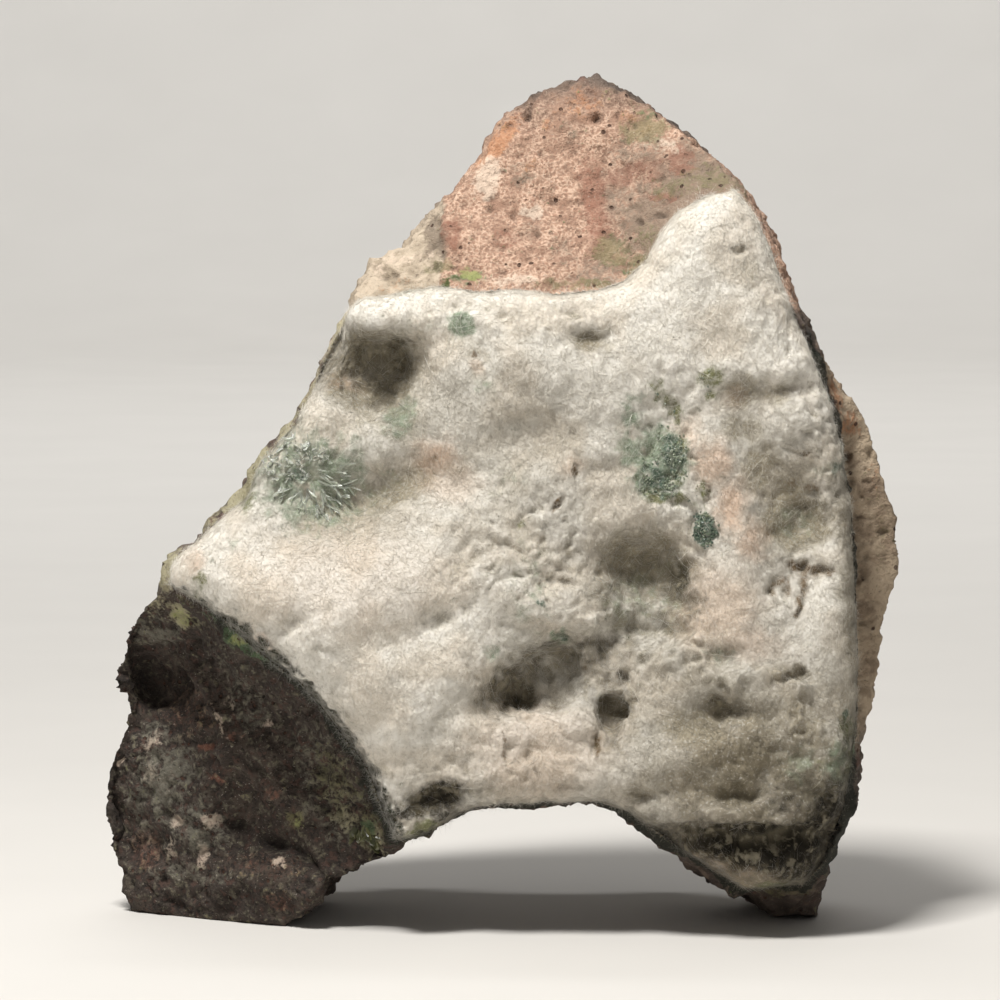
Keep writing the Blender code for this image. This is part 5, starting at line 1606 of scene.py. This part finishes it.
@dataclass
class Matrix:
    """The basalt that carries the felt; sizes in mm."""

    node: str = "basalt_matrix"
    front_edge: float = 0.45
    side_edge: float = 0.72
    soften: int = 5
    hackle: float = 0.55
    scar: float = 2.2
    duck: float = 0.5
    duck_reach: float = 4.0

    def skin(self, felt: Skin) -> Skin:
        """The rock's surface, refined and broken up, with its zones as masks.

        Args:
            felt: the felt's surface, which hides part of the rock.

        Returns:
            A closed skin.
        """
        skin = Skin.of_node(self.node)
        cover = KDTree(len(felt.points))
        for number, place in enumerate(felt.points.tolist()):
            cover.insert(place, number)
        cover.balance()
        gap = np.array([cover.find(p)[2] for p in skin.points.tolist()])
        facing = skin.normals()[:, 1]
        wanted = np.where(facing < -0.25, self.front_edge, self.side_edge)
        skin.refine(np.where((gap < 1.2) & (facing < -0.2), 0.8, wanted))
        gap = np.array([cover.find(p)[2] for p in skin.points.tolist()])
        hidden = np.clip(1.6 - gap, 0.0, 1.0) * (skin.normals()[:, 1] < 0)
        standing = smooth(skin.points[:, 2], 0.05, 1.6)
        skin.relax(self.soften, 0.6 * standing)
        self._zone(skin, gap)
        self._break(skin, standing * (1.0 - 0.8 * hidden))
        self._duck(skin, felt)
        # how far each point lies below the evened surface, for painted shade in the hollows
        skin.masks["cavity"] = np.clip(skin.blurred(skin.hollowness(6, 0.3), 1), 0.0, 1.0)
        skin.keep_inside()
        return skin

    def _duck(self, skin: Skin, felt: Skin) -> None:
        """Keeps the rock's front behind the felt's, also below its hollows.

        Args:
            skin: the broken rock.
            felt: the felt's surface.
        """
        tree = felt.tree()
        for number in np.flatnonzero(skin.points[:, 1] < self.duck_reach):
            x, y, z = skin.points[number]
            hit = tree.ray_cast(Vector((x, -60.0, z)), Vector((0.0, 1.0, 0.0)))[0]
            if hit is not None and y < hit.y + self.duck:
                skin.points[number, 1] = hit.y + self.duck

    def _zone(self, skin: Skin, gap: Array) -> None:
        """Sets the zones' masks.

        Args:
            skin: the softened rock.
            gap: distance from each point to the felt.
        """
        strays = [ripple(skin.points, 2.6, seed, 3) for seed in (1.0, 2.0, 3.0)]
        x, y, z = (skin.points + 0.7 * np.stack(strays, 1)).T
        front = 1.0 - smooth(y, 0.0, 7.0)
        face = smooth(z, 79.0, 80.0) * smooth(x, -7.4, -6.6)
        skin.masks["pink"] = face * front
        skin.masks["shoulder"] = smooth(z, 72.0, 74.0) * (1.0 - smooth(x, -7.4, -6.6)) * front
        lobe = smooth(x, 38.5, 40.0) * smooth(z, 22.0, 27.0) * (1.0 - smooth(z, 72.0, 74.0))
        skin.masks["lobe"] = lobe * (1.0 - smooth(y, 4.0, 12.0))
        # the dark block, whose colour is partly painted shade
        block = (1.0 - smooth(x, -11.0, -9.0)) * (1.0 - smooth(z, 42.0, 46.0))
        skin.masks["block"] = block * (1.0 - smooth(y, 2.0, 10.0))
        front_point = 1.0 - smooth(skin.blurred(skin.normals()[:, 1], 3), -0.25, 0.15)
        for stain in ROCK_STAINS:
            skin.masks[stain.name] = stain.on(skin) * front_point * front
        edge = (1.0 - smooth(gap + 0.7 * ripple(skin.points, 2.2, 8.0, 3), 1.2, 3.8)) * front
        low = np.maximum(1.0 - smooth(z, 40.0, 44.0), smooth(x, 38.0, 40.0))
        skin.masks["selvage"] = edge * low * 0.95

    def _break(self, skin: Skin, free: Array) -> None:
        """Breaks the surface up in steps, hackles, pits and grains.

        Args:
            skin: the rock with its zones set.
            free: how far each point may move.
        """
        places = skin.points
        wear = skin.masks["pink"] + skin.masks["lobe"]
        harsh = np.clip(1.0 - 0.5 * wear, 0.4, 1.0)
        lift = self.hackle * harsh * ripple(places, 7.0, 4.0, 4)
        middle, inside = crumbs(places + 0.8 * ripple(places, 3.0, 6.0)[:, None], 4.2, 2.0)
        lift += 0.7 * harsh * (middle - 0.5)
        lift -= 0.35 * harsh * (1.0 - smooth(inside, 0.0, 0.12))
        lift += 0.24 * (0.6 + 0.4 * harsh) * ripple(places, 1.9, 7.0, 3)
        rough = 0.30 * ripple(places, 1.6, 25.0, 3) + 0.55 * ripple(places, 4.4, 26.0, 2)
        lift += skin.masks["block"] * rough
        side = smooth(skin.normals()[:, 1], -0.75, -0.3)
        # broad conchoidal scars on the sides and the back
        scars, _ = crumbs(places + 1.6 * ripple(places, 6.0, 27.0, 2)[:, None], 14.0, 4.0)
        lift -= self.scar * smooth(skin.normals()[:, 1], -0.3, 0.3) * np.clip(0.8 - scars, 0.0, 0.8)
        steps, _ = crumbs(places + 0.5 * ripple(places, 1.6, 16.0)[:, None], 2.3, 7.0)
        lift += 0.75 * side * (0.5 - steps)
        lift += 0.30 * side * ripple(places, 1.1, 19.0, 2)
        lift -= 0.30 * smooth(ripple(places, 1.3, 17.0), 0.55, 0.95)
        front = skin.normals()[:, 1] < 0.1
        lift -= front * sum(dent.on(places[:, 0], places[:, 2]) for dent in ROCK_DENTS)
        lift -= front * sum(seam.on(places[:, 0], places[:, 2]) for seam in ROCK_SEAMS)
        skin.points = skin.points + skin.normals() * (lift * free)[:, None]

    def build(self, felt: Skin) -> Skin:
        """Makes the rock and lets it stand for its CAD node.

        Args:
            felt: the felt's surface.

        Returns:
            The rock's skin.
        """
        skin = self.skin(felt)
        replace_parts(skin.piece("basalt", RockFinish(), "basalt"), self.node)
        return skin


# Studio


@dataclass(frozen=True)
class StudioFloor(Finish):
    """Studio paper, pale and matt."""

    name: str = "studio_paper_matt"

    def paint(self, paint: Paint) -> bpy.types.Material:
        """A pale grey with the faintest tooth.

        Args:
            paint: the empty material.

        Returns:
            The finished material.
        """
        paint.over("#DCD9D4", 1.0)
        paint.over("#D6D3CE", paint.grain(40.0, 2.0))
        return paint.finished(Roughness=0.9, Specular_IOR_Level=0.2)


@dataclass
class Studio:
    """A pale sweep, a lamp above, a weak fill and the camera of the photograph; sizes in metres."""

    target: tuple[float, float, float] = (0.0, 0.0, 0.05375)
    distance: float = 0.70
    elevation: float = 5.0
    view_width: float = 0.1294
    sensor: float = 36.0

    def floor(self) -> None:
        """Makes the floor and backdrop as one curved sheet."""
        radius, depth, width, height = 0.5, 1.2, 2.4, 2.0
        bend = [math.pi / 2 * step / 12 for step in range(13)]
        behind = [(depth + radius * math.sin(turn), radius * (1 - math.cos(turn))) for turn in bend]
        behind += [(depth + radius, height)]
        profile = [(-y, z) for y, z in reversed(behind)] + behind
        points = [(x, y, z) for y, z in profile for x in (-width, width)]
        faces = [(2 * k, 2 * k + 1, 2 * k + 3, 2 * k + 2) for k in range(len(profile) - 1)]
        mesh = bpy.data.meshes.new("studio_sweep")
        mesh.from_pydata(points, [], faces)
        mesh.polygons.foreach_set("use_smooth", [True] * len(faces))
        mesh.materials.append(StudioFloor().material())
        sweep = bpy.data.objects.new("studio_sweep", mesh)
        bpy.context.scene.collection.objects.link(sweep)

    def lamp(self, name: str, place: tuple[float, float, float], size: float, power: float, colour: str,
             aim: tuple[float, float, float] | None = None) -> None:
        """Adds a square area lamp.

        Args:
            name: the lamp's name.
            place: where it hangs.
            size: its side.
            power: in watts.
            colour: its light.
            aim: what it points at, or the camera's target.
        """
        light = bpy.data.lights.new(name, "AREA")
        light.size, light.energy, light.color = size, power, linear(colour)[:3]
        lamp = bpy.data.objects.new(name, light)
        lamp.location = place
        lamp.rotation_mode = "QUATERNION"
        lamp.rotation_quaternion = (Vector(aim or self.target) - Vector(place)).to_track_quat("-Z", "Y")
        bpy.context.scene.collection.objects.link(lamp)

    def camera(self) -> None:
        """Adds the camera at the photograph's angle."""
        data = bpy.data.cameras.new("photo_view")
        data.sensor_width = self.sensor
        data.lens = self.sensor * self.distance / self.view_width
        data.clip_start, data.clip_end = 0.01, 20.0
        camera = bpy.data.objects.new("photo_view", data)
        rise = math.radians(self.elevation)
        back = Vector((0.0, -math.cos(rise), math.sin(rise)))
        camera.location = Vector(self.target) + back * self.distance
        camera.rotation_mode = "QUATERNION"
        camera.rotation_quaternion = (-back).to_track_quat("-Z", "Y")
        bpy.context.scene.collection.objects.link(camera)
        bpy.context.scene.camera = camera

    def build(self) -> None:
        """Sets up the whole studio."""
        self.floor()
        self.camera()
        self.lamp("key_above", (-0.09, -0.17, 0.46), 0.10, 2.75, "#FFFDFA")
        self.lamp("fill_front", (0.12, -0.70, 0.22), 0.5, 0.3, "#F8F9FF")
        self.lamp("backdrop_wash", (0.0, 0.5, 1.2), 0.8, 17.0, "#FFFFFF", (0.0, 1.7, 0.5))
        world = bpy.data.worlds.new("studio_air")
        world.use_nodes = True
        sky = world.node_tree.nodes["Background"]
        sky.inputs["Color"].default_value = linear("#F1F0ED")
        sky.inputs["Strength"].default_value = 0.15
        bpy.context.scene.world = world
        view = bpy.context.scene.view_settings
        view.view_transform, view.look = "Standard", "None"


# All together


def grow_fibres(felt: Skin) -> None:
    """Grows everything that stands or lies loose on the felt.

    Args:
        felt: the felt's skin.
    """
    at = felt.faces[:, 0]
    open_face = np.where(felt.normals()[at, 1] < 0.1, 1.0, 0.0)
    dark = np.clip(felt.masks["hollow"] + 0.5 * felt.masks["haze"], 0, 1)[at]
    crust = np.clip(felt.masks["teal"] + felt.masks["green"] + felt.masks["olive"], 0, 1)[at]
    Threads("named_needles", 0, (1.0, 2.0), 0.085, (0.1, 0.45), 0.0, 21, 3).place(felt, NAMED_NEEDLES)
    black = np.clip(felt.masks["dark"][at], 0, 1)
    fringe = open_face * felt.masks["rim"][at]
    bare = open_face * (1.0 - 0.45 * dark) * (1.0 - 0.4 * crust) * (1.0 - 0.95 * black)
    Fuzz("felt_fuzz_short", 46000, (0.5, 1.5), 0.035, (3.0, 26.0), 11).build(felt, bare)
    Fuzz("felt_fuzz_long", 40000, (0.8, 2.6), 0.030, (2.0, 14.0), 12, 0.4).build(felt, bare)
    Fuzz("felt_fringe", 14000, (0.5, 1.8), 0.034, (2.0, 30.0), 13).build(felt, fringe)
    Threads("felt_threads", 2600, (2.5, 6.5), 0.045, (0.05, 0.35), 0.16, 14).build(felt, bare)


def main() -> None:
    """Builds the specimen piece by piece."""
    logging.basicConfig(level=logging.INFO, format="%(message)s")
    Studio().build()
    felt = FeltMat().build()
    rock = Matrix().build(felt)
    GreenSpray().build(felt)
    GreenDruse().build(felt)
    NotchBlades().build(rock)
    grow_fibres(felt)


if __name__ == "__main__":
    main()
